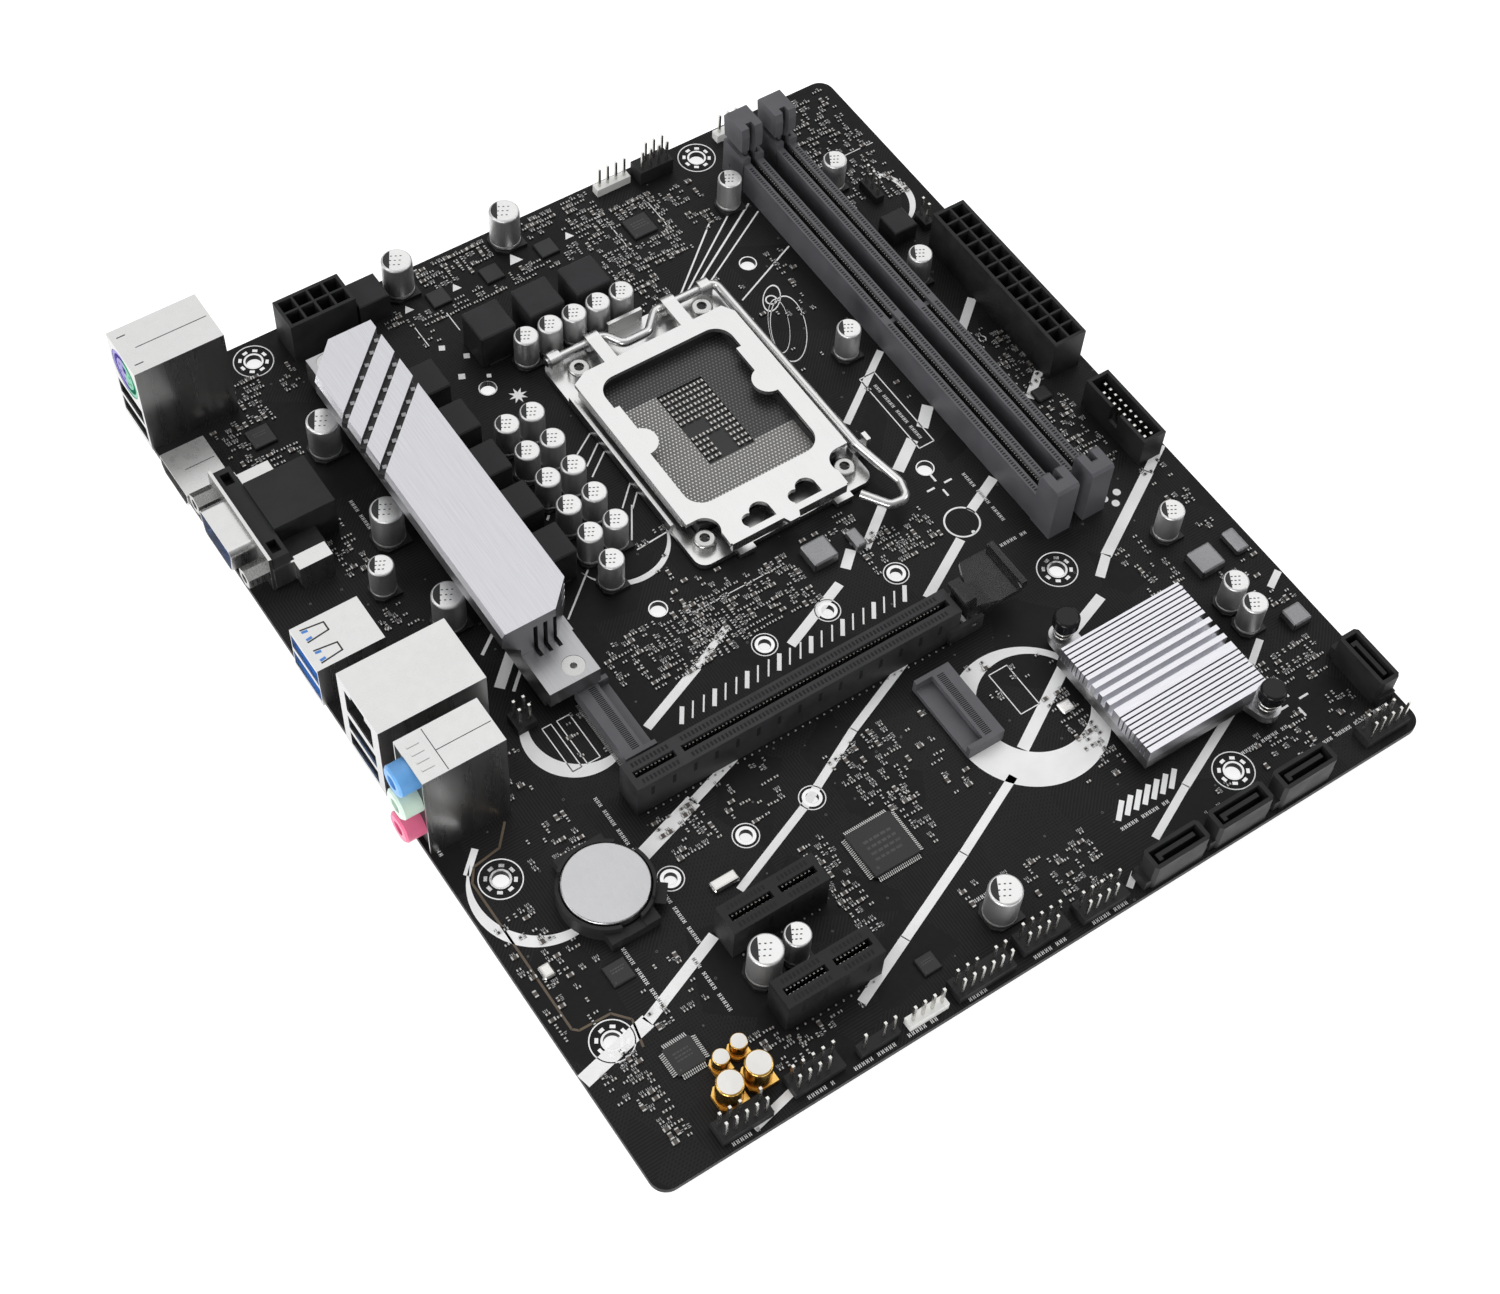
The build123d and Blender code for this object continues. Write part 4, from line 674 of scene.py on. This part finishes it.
hairlines = [
    (135.6, 200.1, 155.6, 216.8, 0.45), (137.8, 200.1, 163.3, 217.9, 0.45),
    (139.4, 199.4, 167.8, 216.8, 0.55), (144.4, 199.6, 168.4, 213.2, 0.45),
    (147.8, 190.0, 168.4, 198.9, 0.45), (85.5, 170.1, 92.0, 174.2, 0.4),
    (86.0, 166.0, 92.0, 170.6, 0.4), (85.4, 162.6, 92.0, 167.6, 0.4), (86.6, 150.8, 92.2, 156.2, 0.4),
    (88.6, 149.4, 92.2, 153.0, 0.4), (83.4, 141.6, 89.0, 150.4, 0.4), (83.0, 138.6, 92.0, 139.2, 0.4),
    (58.6, 130.4, 70.6, 140.4, 0.45), (69.4, 157.4, 73.0, 160.8, 0.6),
    (72.4, 219.4, 72.4, 226.0, 0.25), (81.6, 219.4, 81.6, 226.0, 0.25),
    (132.6, 219.0, 132.6, 231.0, 0.25), (145.4, 219.0, 145.4, 231.0, 0.25),
    (84.4, 116.4, 110.0, 116.4, 0.22), (188.4, 217.6, 208.6, 217.6, 0.25)]
finePrintFrames = [
    # low corner, high corner, line width
    (158.4, 127.3, 162.9, 152.9, 0.3), (37.8, 94.8, 40.2, 108.1, 0.25),
    (41.7, 94.8, 45.1, 108.1, 0.25), (133.0, 52.4, 138.3, 64.9, 0.25)]
hatch = {"x": (134.6, 152.6), "y": (17.6, 22.4), "bars": 7, "width": 1.25}
crosses = [(155.9, 115.5, 3.7), (189.0, 20.8, 4.4)]
triangles = [(73.9, 232.0, 1.5), (87.8, 232.0, 1.5), (105.4, 232.3, 2.2), (121.5, 232.0, 1.5)]
sparks = [(74.8, 216.7, 1.1), (78.8, 211.3, 1.1), (74.4, 206.2, 1.2), (80.3, 202.9, 0.8)]
dots = [(187.8, 90.6, 1.0), (191.7, 90.6, 1.0), (189.4, 88.1, 1.0), (154.6, 99.8, 0.5)]
crescents = [
    # centre and radius of the whole disc, then of the disc taken out of it
    (134.5, 51.0, 18.9, 137.4, 53.4, 13.4), (44.0, 104.0, 12.6, 46.4, 105.9, 12.0),
    (16.3, 75.0, 15.5, 18.3, 77.0, 15.5), (80.4, 142.6, 12.4, 80.2, 144.4, 12.7),
    (196.6, 199.4, 10.6, 194.6, 199.8, 10.9)]
rings = [
    # centre, radius, line width, squeeze along the second direction, turn in degrees
    (154.0, 103.6, 4.6, 0.45, 1.0, 0), (152.6, 176.0, 11.0, 0.4, 0.42, 62),
    (151.0, 178.0, 9.0, 0.35, 0.3, 62), (192.8, 147.1, 1.0, 0.25, 1.0, 0),
    (154.6, 186.6, 4.6, 0.5, 0.5, 48), (154.2, 186.2, 1.6, 0.4, 1.0, 0)]
slantBars = {"x": (65.4, 131.6), "y": (92.2, 96.0), "count": 22, "slant": 2.6, "heavy": 1.05, "light": 0.4}


def band(x0, y0, x1, y1, width, height=0.0):
    clear()
    run = math.hypot(x1 - x0, y1 - y0)
    bpy.ops.mesh.primitive_plane_add(size=1, location=at((x0 + x1) / 2, (y0 + y1) / 2, height),
                                     rotation=(0, 0, math.atan2(y1 - y0, x1 - x0)))
    piece = bpy.context.object
    piece.scale = ((run + width * 0.12) * mm, width * mm, 1)
    return settle(piece)


def raised(flat, name, thickness, mat):
    # flat pieces joined, given a thickness upwards, coloured and put on the board
    piece = joined(flat, name)
    press(piece, "SOLIDIFY", thickness=thickness * mm, offset=1.0)
    onBoard(painted(piece, mat))


def circle(x, y, radius, corners, fill, turn=0.0):
    clear()
    bpy.ops.mesh.primitive_circle_add(vertices=corners, radius=radius * mm, fill_type=fill,
                                      location=at(x, y), rotation=(0, 0, math.radians(turn)))
    return bpy.context.object


def spot(x, y, radius, corners=28, turn=0.0):
    return settle(circle(x, y, radius, corners, "NGON", turn))


def ring(x, y, radius, line, squeeze=1.0, turn=0.0, corners=56):
    piece = circle(x, y, radius, corners, "NOTHING")
    bpy.ops.object.mode_set(mode="EDIT")
    bpy.ops.mesh.select_all(action="SELECT")
    bpy.ops.mesh.extrude_region_move()
    grow = (radius - line) / radius
    bpy.ops.transform.resize(value=(grow, grow, 1), center_override=at(x, y))
    bpy.ops.mesh.select_all(action="SELECT")
    bpy.ops.mesh.normals_make_consistent(inside=False)
    bpy.ops.object.mode_set(mode="OBJECT")
    piece.scale = (1, squeeze, 1)
    piece.rotation_euler = (0, 0, math.radians(turn))
    settle(piece)
    if piece.data.polygons[0].normal.z < 0:
        piece.data.flip_normals()
    return piece


def star(x, y, radius, points=8, waist=0.42):
    piece = spot(x, y, radius, points * 2)
    for number, vert in enumerate(piece.data.vertices):
        if number % 2:
            vert.co = at(x, y) + (vert.co - at(x, y)) * waist
    return piece


def drum(x, y, radius, depth, level):
    clear()
    bpy.ops.mesh.primitive_cylinder_add(vertices=96, radius=radius * mm, depth=depth * mm,
                                        location=at(x, y, level))
    return settle(bpy.context.object)


def crescent(x, y, radius, cutX, cutY, cutRadius):
    whole = drum(x, y, radius, inkHeight, inkHeight / 2)
    cutter = drum(cutX, cutY, cutRadius, 4, 0.0)
    press(whole, "BOOLEAN", operation="DIFFERENCE", object=cutter, solver="EXACT")
    bpy.data.objects.remove(cutter)
    return whole


flats = [band(*one) for one in bands + hairlines]
for x0, y0, x1, y1, line in finePrintFrames:
    flats += [band(x0, y0, x0, y1, line), band(x1, y0, x1, y1, line)]
    flats += [band(x0, y0, x1, y0, line), band(x0, y1, x1, y1, line)]
step = (hatch["x"][1] - hatch["x"][0]) / hatch["bars"]
tall = hatch["y"][1] - hatch["y"][0]
for number in range(hatch["bars"]):
    x0 = hatch["x"][0] + step * number
    flats.append(band(x0, hatch["y"][0] + 0.6, x0 + tall * 0.8, hatch["y"][1] - 0.6, hatch["width"]))
for x, y, reach in crosses:
    for wayX, wayY in ((1, 0), (0, 1), (-1, 0), (0, -1)):
        near = (x + wayX * reach * 0.4, y + wayY * reach * 0.4)
        flats.append(band(*near, x + wayX * reach, y + wayY * reach, 0.55))
flats += [spot(x, y, r, 3, 0) for x, y, r in triangles] + [spot(x, y, r, 4, 20) for x, y, r in sparks]
flats += [spot(x, y, r) for x, y, r in dots] + [ring(*one) for one in rings]
flats.append(star(83.2, 193.7, 2.5))
wide = (slantBars["x"][1] - slantBars["x"][0]) / slantBars["count"]
for number in range(slantBars["count"]):
    x0 = slantBars["x"][0] + wide * number
    line = slantBars["light"] if number % 3 else slantBars["heavy"]
    flats.append(band(x0, slantBars["y"][0], x0 + slantBars["slant"], slantBars["y"][1], line))
raised(flats, "printed_bands", inkHeight, ink)
moons = joined([crescent(*one) for one in crescents], "printed_crescents")
onBoard(painted(moons, ink))
print("printing done")


# plated pads and printed rings round the holes

caseHole = {"pads": 8, "padRadius": 3.35, "padSize": (1.15, 0.8), "lineRadius": 5.1, "line": 0.28,
            "landRadius": 2.5}
standoffHole = {"landRadius": 2.35, "lineRadius": 3.2, "line": 0.25}
caseHoles = [(33.02, 237.65), (165.1, 237.65), (10.16, 80.17), (165.1, 80.17), (10.16, 34.45), (165.1, 14.13)]
standoffHoles = [(93.6, 99.9), (111.6, 99.9), (131.6, 99.9), (79.6, 60.2), (61.6, 60.2), (41.6, 60.2)]
coolerHoles = [(78.0, 121.6), (156.0, 121.6), (78.0, 199.6), (156.0, 199.6)]

holeInk, holeTin = [], []
for x, y in caseHoles:
    holeInk.append(ring(x, y, caseHole["lineRadius"], caseHole["line"]))
    holeTin.append(ring(x, y, caseHole["landRadius"], caseHole["landRadius"] - 2.0))
    for number in range(caseHole["pads"]):
        turn = 2 * math.pi * number / caseHole["pads"] + 0.2
        reach = caseHole["padRadius"]
        cx, cy = x + reach * math.cos(turn), y + reach * math.sin(turn)
        long, deep = caseHole["padSize"]
        holeTin.append(band(cx - math.sin(turn) * long / 2, cy + math.cos(turn) * long / 2,
                            cx + math.sin(turn) * long / 2, cy - math.cos(turn) * long / 2, deep))
for x, y in standoffHoles:
    holeInk.append(ring(x, y, standoffHole["lineRadius"], standoffHole["line"]))
    holeTin.append(ring(x, y, standoffHole["landRadius"], standoffHole["landRadius"] - 1.55))
for x, y in coolerHoles:
    holeTin.append(ring(x, y, 2.35, 0.3))
raised(holeInk, "printed_hole_rings", inkHeight, ink)
raised(holeTin, "plated_lands", 0.05, tin)
print("hole lands done")


# capacitor tops

capTop = {"reach": 0.87, "rise": 0.05, "inkSide": 0.42, "inkTurn": 150}


def capacitorTop(radius, withInk=True):
    # a lid with a rolled edge, a printed segment along one side and small stamped ticks
    clear()
    wide = radius * capTop["reach"] * mm
    bpy.ops.mesh.primitive_cylinder_add(vertices=28, radius=wide, depth=capTop["rise"] * mm,
                                        location=(0, 0, capTop["rise"] / 2 * mm))
    lid = painted(settle(bpy.context.object), finishes["lid"])
    if not withInk:
        return lid
    clear()
    bpy.ops.mesh.primitive_circle_add(vertices=36, radius=wide * 0.98, fill_type="NGON",
                                      location=(0, 0, (capTop["rise"] + 0.004) * mm))
    segment = settle(bpy.context.object)
    bpy.ops.object.mode_set(mode="EDIT")
    bpy.ops.mesh.select_all(action="SELECT")
    bpy.ops.mesh.bisect(plane_co=(radius * capTop["inkSide"] * mm, 0, 0), plane_no=(1, 0, 0),
                        clear_inner=True, use_fill=False)
    bpy.ops.object.mode_set(mode="OBJECT")
    press(segment, "SOLIDIFY", thickness=0.02 * mm, offset=1.0)
    segment.data.transform(Matrix.Rotation(math.radians(capTop["inkTurn"]), 4, "Z"))
    painted(segment, darkInk)
    ticks = []
    for row in range(3):
        for column in range(3):
            x = (column - 1.25) * radius * 0.30 + 0.22 * radius * (row - 1) * 0.3
            y = (row - 1.1) * radius * 0.36
            tick = looseBlock((x - 0.26, x + 0.24), (y - 0.14, y + 0.14), (0, 0.012), darkInk)
            tick.data.transform(Matrix.Translation((0, 0, (capTop["rise"] + 0.002) * mm)))
            tick.data.transform(Matrix.Rotation(math.radians(-28), 4, "Z"))
            ticks.append(tick)
    return joined([lid, segment] + ticks, "lid")


finishes["lid"] = brushedMetal("capacitor lid aluminium", (0.72, 0.72, 0.715), 0.38, (1, 0.3, 1), 3000,
                               0.004, 0.06)
finishes["goldLid"] = mouldedPlastic("audio capacitor lid", (0.86, 0.85, 0.82), 0.4, 2500, 0.006, 0.05)
for node, name in (("polymer_capacitors", "polymer_capacitor_lids"),
                   ("electrolytic_capacitors", "electrolytic_capacitor_lids")):
    cans = solidsOf(node)
    radius = (cans[0][1][0] - cans[0][0][0]) / 2 - 0.15
    spots = [(at((low[0] + high[0]) / 2, (low[1] + high[1]) / 2, high[2]), 0) for low, high in cans]
    onBoard(copiesOf(capacitorTop(radius), spots, name))
small = []
for low, high in solidsOf("audio_capacitors"):
    lid = capacitorTop((high[0] - low[0]) / 2 - 0.15, False)
    painted(lid, finishes["goldLid"])
    lid.data.transform(Matrix.Translation(at((low[0] + high[0]) / 2, (low[1] + high[1]) / 2, high[2])))
    small.append(lid)
onBoard(joined(small, "audio_capacitor_lids"))
print("capacitor lids done")


# contacts in the memory and card slots

memoryRows = {"from": 93.6, "to": 220.6, "pitch": 0.85, "window": (0.9, 0.42), "offset": 2.05, "top": 9.4}
cardRows = {"pitch": 1.0, "window": (0.52, 1.15), "offset": 2.35, "top": 11.2}


def contactRows(spots, window, name, mat, rise=0.03):
    half, side = window[0] / 2, window[1] / 2
    block = looseBlock((-half, half), (-side, side), (0.0, rise), mat)
    onBoard(copiesOf(block, [(where, 0) for where in spots], name))


# near-black painted shade for the openings of the slots: contact windows, side notches and M.2 contact slots
slotShade = mouldedPlastic("slot opening painted shade", (0.006, 0.006, 0.006), 0.7)
slotTip = brushedMetal("slot contact tips", (0.50, 0.49, 0.46), 0.35, (1, 1, 0.1), 5000)
count = int((memoryRows["to"] - memoryRows["from"]) / memoryRows["pitch"])
for number in (1, 2):
    low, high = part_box("dimm_slot_%d" % number)
    middle = ((low.x + high.x) / 2 - boardLow.x) / mm
    ys = [memoryRows["from"] + memoryRows["pitch"] * k for k in range(count)]
    ys = [y for y in ys if abs(y - 159) > 1.2]
    windows = [at(middle + side * memoryRows["offset"], y, memoryRows["top"]) for y in ys for side in (-1, 1)]
    name = "memory_contact_windows_%d" % number
    contactRows(windows, memoryRows["window"], name, slotShade)
    tips = [at(middle + side * 0.72, y, memoryRows["top"] - 2.2) for y in ys for side in (-1, 1)]
    contactRows(tips, (0.34, 0.36), "memory_contacts_%d" % number, slotTip, 1.5)
cardSlots = {"x16": "pcie_x16_slot", "x1_upper": "pcie_x1_slot_upper", "x1_lower": "pcie_x1_slot_lower"}
for key, node in cardSlots.items():
    low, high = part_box(node)
    first = (low.x - boardLow.x) / mm
    last = 133.0 if key == "x16" else (high.x - boardLow.x) / mm
    middle = 81.2 if key == "x16" else ((low.y + high.y) / 2 - boardLow.y) / mm
    xs = [first + 2.4 + cardRows["pitch"] * k for k in range(int((last - first - 4.0) / cardRows["pitch"]))]
    xs = [x for x in xs if abs(x - first - 13.2) > 1.3]
    windows = [at(x, middle + side * cardRows["offset"], cardRows["top"]) for x in xs for side in (-1, 1)]
    name = "card_contact_windows_" + key
    contactRows(windows, cardRows["window"], name, slotShade)
    tips = [at(x, middle + side * 0.66, cardRows["top"] - 2.4) for x in xs for side in (-1, 1)]
    contactRows(tips, (0.4, 0.34), "card_contacts_" + key, slotTip, 1.4)

# painted shade in the notches along the sides of the card slots, and the tips of their soldered pins
slotSide = {"pitch": 5.65, "width": 0.9, "low": 6.0, "high": 9.3, "proud": 0.04, "tipPitch": 2.0,
            "tipOut": 0.75}
notches, tips = [], []
for x0, x1, middle in ((44.0, 133.0, 81.2), (42.4, 67.4, 40.6), (42.4, 67.4, 20.0)):
    for side in (-1, 1):
        face = middle + side * 3.75
        near, far = sorted((face, face + side * slotSide["proud"]))
        for number in range(1, int((x1 - x0) / slotSide["pitch"]) + 1):
            x = x0 - 1.6 + number * slotSide["pitch"]
            notches.append(blockAt((x - slotSide["width"] / 2, x + slotSide["width"] / 2), (near, far),
                                   (slotSide["low"], slotSide["high"]), slotShade))
        tips += [at(x0 + 2.4 + slotSide["tipPitch"] * k, face + side * slotSide["tipOut"])
                 for k in range(int((x1 - x0 - 4) / slotSide["tipPitch"]) + 1)]
onBoard(joined(notches, "slot_side_notches"))
tip = looseBlock((-0.24, 0.24), (-0.24, 0.24), (0, 0.4), dullTin, 0.1)
onBoard(copiesOf(tip, [(s, 0) for s in tips], "slot_pin_tips"))
print("slot contacts done")


# chip leads

chipLead = {"pitch": 0.5, "width": 0.24, "reach": 1.1}
leadedChips = [(85.7, 41.6, 12.4), (21.0, 23.2, 7.0)]


def leadRows():
    spots = []
    for x, y, side in leadedChips:
        count = int((side - 1.2) / chipLead["pitch"])
        for k in range(count + 1):
            along = (k - count / 2) * chipLead["pitch"]
            spots += [(at(x + along, y + side / 2), 90), (at(x + along, y - side / 2), -90),
                      (at(x + side / 2, y + along), 0), (at(x - side / 2, y + along), 180)]
    half = chipLead["width"] / 2
    foot = looseBlock((0.45, chipLead["reach"]), (-half, half), (0.3, 0.42), dullTin)
    shin = looseBlock((0.3, 0.5), (-half, half), (0.34, 0.72), dullTin)
    knee = looseBlock((-0.05, 0.4), (-half, half), (0.62, 0.74), dullTin)
    return copiesOf(joined([foot, shin, knee], "lead"), spots, "chip_leads")


onBoard(leadRows())

print("chip leads done")


# M.2 contact slots along the back bar, and their soldered feet

cardEdge = {"pitch": 0.5, "reach": 9.4, "slot": (1.9, 0.27), "foot": (0.8, 0.24)}
edgeSockets = {"upper": (48.2, 99.9, 1), "lower": (125.2, 60.2, -1)}
for key, (back, middle, way) in edgeSockets.items():
    count = int(2 * cardEdge["reach"] / cardEdge["pitch"])
    ys = [middle - cardEdge["reach"] + cardEdge["pitch"] * k for k in range(count + 1)]
    slots = [at(back + way * 3.6, y, 4.2) for y in ys]
    # the M.2 contact slots are painted shade
    contactRows(slots, cardEdge["slot"], "edge_socket_slots_" + key, slotShade)
    feet = [at(back - way * 0.4, y, 0.0) for y in ys]
    contactRows(feet, cardEdge["foot"], "edge_socket_feet_" + key, dullTin, 0.3)


# faint laser marks on the chips, and a moulded dot at one corner

markedChips = [
    (85.7, 41.6, 12.4, 1.4, 4), (21.0, 23.2, 7.0, 1.0, 3), (23.4, 215.4, 6.0, 0.9, 2),
    (138.9, 224.8, 7.0, 0.9, 3), (77.1, 12.6, 4.6, 0.9, 2), (19.8, 47.0, 5.4, 0.9, 2)]
chipMarks = []
for x, y, side, top, rows in markedChips:
    for row in range(rows):
        start = x - side * 0.3
        while start < x + side * 0.26:
            run = dice.uniform(0.05, 0.12) * side
            level = y + side * (0.18 - 0.13 * row)
            chipMarks.append(band(start, level, start + run, level, side * 0.055, top))
            start += run + side * 0.035
    dot = spot(x - side * 0.36, y - side * 0.36, side * 0.035, 12)
    dot.data.transform(Matrix.Translation((0, 0, top * mm)))
    chipMarks.append(dot)
raised(chipMarks, "chip_marks", 0.012, chipInk)


# star recesses in the socket's screws: a dark star in each, painted shade in the hollow

recesses = []
for x, y in ((98.9, 190.3), (135.7, 190.8), (96.7, 130.3), (137.3, 130.1)):
    recess = star(x, y, 1.24, 6, 0.62)
    recess.data.transform(Matrix.Translation((0, 0, 3.41 * mm)))
    recesses.append(recess)
raised(recesses, "screw_recess_shades", 0.5, seamShade)
print("marks and recesses done")


# copper line round the sound parts

copperLine = [
    (18.3, 92.0), (13.9, 87.0), (6.7, 85.9), (4.4, 82.6), (4.4, 41.4), (5.6, 40.3), (13.3, 40.0),
    (16.4, 36.4), (15.0, 29.8)]
strips = [band(*first, *second, 0.55) for first, second in zip(copperLine, copperLine[1:])]
raised(strips, "copper_line", inkHeight, brownInk)


# slots milled in the power heatsink: painted shade inside them, with ribs

milledSlot = {"feet": (214.2, 205.4, 196.6), "from": (36.5, -20.7), "to": (56.4, -1.4), "width": 1.7,
             "floor": 19.02, "depth": 1.7, "ribs": 7}
slotShadeBands, ribs = [], []
ribLevel = milledSlot["floor"] + milledSlot["depth"]
for foot in milledSlot["feet"]:
    x0, y0 = milledSlot["from"][0], foot + milledSlot["from"][1]
    x1, y1 = milledSlot["to"][0], foot + milledSlot["to"][1]
    slotShadeBands.append(band(x0, y0, x1, y1, milledSlot["width"], milledSlot["floor"]))
    for number in range(milledSlot["ribs"]):
        part = (number + 0.5) / milledSlot["ribs"]
        x, y = x0 + (x1 - x0) * part, y0 + (y1 - y0) * part
        ribs.append(band(x - 0.45, y + 0.15, x + 0.45, y - 0.15, 1.1, ribLevel))
# near-black bands fill the slots as painted shade
raised(slotShadeBands, "heatsink_slot_shades", milledSlot["depth"], deepShade)
raised(ribs, "heatsink_slot_ribs", 0.3, ribGrey)
print("heatsink slots done")


# parts in the middle of the processor socket

socketMiddle = {"x": (111.6, 122.6), "y": (150.2, 171.6), "columns": 6, "rows": 13, "size": (1.35, 0.75),
                "bare": [(111, 116.4, 158.6, 162.2), (115.6, 118.2, 150, 156.4)]}
middleSpots = []
stepX = (socketMiddle["x"][1] - socketMiddle["x"][0]) / (socketMiddle["columns"] - 1)
stepY = (socketMiddle["y"][1] - socketMiddle["y"][0]) / (socketMiddle["rows"] - 1)
for column in range(socketMiddle["columns"]):
    for row in range(socketMiddle["rows"]):
        x, y = socketMiddle["x"][0] + column * stepX, socketMiddle["y"][0] + row * stepY
        if not any(a < x < b and c < y < d for a, b, c, d in socketMiddle["bare"]):
            middleSpots.append((at(x, y, 2.62), 0))
middlePart = {"length": 1.5, "width": 0.8, "height": 0.6, "end": 0.42}
onBoard(copiesOf(endedPart(middlePart, ceramicTan, dullTin), middleSpots, "socket_middle_parts"))


# shielded chokes and crystals

covers = [("shielded_choke_1", 118.6, 113.7, 6.8, 6.8, 3.0, ferriteGrey),
          ("shielded_choke_2", 196.2, 62.4, 6.8, 6.8, 3.0, ferriteGrey),
          ("shielded_choke_3", 204.4, 38.4, 5.2, 5.2, 2.6, ferriteGrey),
          ("filter_choke", 128.6, 112.5, 2.8, 5.4, 2.4, ferriteGrey),
          ("corner_choke", 206.1, 63.1, 3.4, 6.6, 2.2, ferriteGrey),
          ("memory_power_chip", 194.4, 124.6, 4.4, 4.0, 0.9, finishes["chip_black"]),
          ("timing_crystal", 50.9, 52.9, 6.6, 2.9, 1.5, crystalMetal),
          ("sound_crystal", 6.9, 55.6, 2.8, 3.6, 1.0, crystalMetal),
          ("port_crystal", 142.8, 48.3, 3.4, 3.2, 1.0, crystalMetal)]
for name, x, y, wide, deep, tall, mat in covers:
    grow = 0.04
    lid = blockAt((x - wide / 2 - grow, x + wide / 2 + grow), (y - deep / 2 - grow, y + deep / 2 + grow),
                  (0.02, tall + grow), mat, 0.35)
    bpy.ops.object.mode_set(mode="EDIT")
    bpy.ops.mesh.select_all(action="DESELECT")
    bpy.ops.object.mode_set(mode="OBJECT")
    for face in lid.data.polygons:
        face.select = face.normal.z > 0.99
    bpy.ops.object.mode_set(mode="EDIT")
    bpy.ops.mesh.inset(thickness=0.35 * mm)
    bpy.ops.transform.translate(value=(0, 0, 0.08 * mm))
    bpy.ops.object.mode_set(mode="OBJECT")
    lid.name = lid.data.name = name
    onBoard(lid)
print("chokes and crystals done")


# seams, spring fingers and tongues of the rear ports

seams = [
    # x, y, x, y, width, height above the board
    (3.5, 233.4, 22.0, 233.4, 0.22, 28.5), (1.0, 228.6, 3.2, 228.6, 0.3, 28.5),
    (1.0, 238.2, 3.2, 238.2, 0.3, 28.5), (7.0, 99.4, 20.6, 99.4, 0.2, 31.0),
    (7.0, 93.9, 7.0, 105.6, 0.2, 31.0), (2.0, 211.8, 9.6, 211.8, 0.2, 6.3)]
fingers = {"mid": (143.4, 149.8), "from": 1.0, "to": 6.8, "height": 14.5, "line": 0.4}
cuts, mouths = [], []
for mid in fingers["mid"]:
    a, b, h = fingers["from"], fingers["to"], fingers["height"]
    for side in (-1, 1):
        cuts.append(band(a, mid + side * 1.9, b, mid + side * 1.2, fingers["line"], h))
        mouths.append(band(a + 0.1, mid + side * 1.2, a + 1.5, mid + side * 1.0, 0.7, h))
    cuts.append(band(b - 0.1, mid - 1.3, b - 0.1, mid + 1.3, fingers["line"], h))
raised(cuts, "spring_finger_cuts", 0.02, seamShade)
raised(mouths, "spring_finger_mouths", 0.02, finishes["usb3_plastic"])
raised([band(*one) for one in seams], "port_seams", 0.015, seamShade)

portTongue = {"reach": (1.05, 11.45), "half": 5.75, "low": -0.25, "high": 1.95, "levels": (4.0, 10.8)}
lanLow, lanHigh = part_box("lan_usb_shield")
lanMiddle = ((lanLow.y + lanHigh.y) / 2 - boardLow.y) / mm
tongues = [blockAt(portTongue["reach"], (lanMiddle - portTongue["half"], lanMiddle + portTongue["half"]),
                   (level + portTongue["low"], level + portTongue["high"]), finishes["usb3_plastic"], 0.3)
           for level in portTongue["levels"]]
onBoard(joined(tongues, "port_tongues"))


# rows of printed ticks beside the slots and headers

tickRows = [
    (38.4, 44.0, 38.4, 87.0), (35.2, 27.0, 35.2, 42.0), (23.6, 36.0, 23.6, 56.0),
    (19.0, 1.3, 26.0, 1.3), (38.0, 1.3, 45.0, 1.3), (50.0, 1.3, 61.0, 1.3), (64.0, 1.3, 72.0, 1.3),
    (80.0, 1.0, 86.0, 1.0), (98.0, 1.3, 107.0, 1.3), (114.0, 1.0, 124.0, 1.0),
    (134.0, 16.0, 148.0, 16.0), (170.0, 16.6, 184.0, 16.6), (32.4, 172.0, 32.4, 188.0),
    (94.0, 19.4, 104.0, 19.4), (158.0, 93.0, 166.0, 93.0), (163.0, 99.0, 163.0, 117.0),
    (160.6, 130.0, 160.6, 150.0), (186.0, 8.6, 208.0, 8.6), (2.2, 92.4, 2.2, 100.0)]
ticks = []
for x0, y0, x1, y1 in tickRows:
    run = math.hypot(x1 - x0, y1 - y0)
    count = int(run / 0.95)
    turn = math.degrees(math.atan2(y1 - y0, x1 - x0))
    for number in range(count):
        if number % 6 != 5:
            part = number / count
            ticks.append((at(x0 + (x1 - x0) * part, y0 + (y1 - y0) * part), turn))
tickBars = (((-0.3, -0.12), (-0.45, 0.45)), ((0.14, 0.32), (-0.45, 0.45)), ((-0.3, 0.32), (-0.08, 0.08)))
tickPieces = [looseBlock(wide, deep, (0, inkHeight), ink) for wide, deep in tickBars]
onBoard(copiesOf(joined(tickPieces, "tick"), ticks, "printed_tick_rows"))
print("printed ticks done")
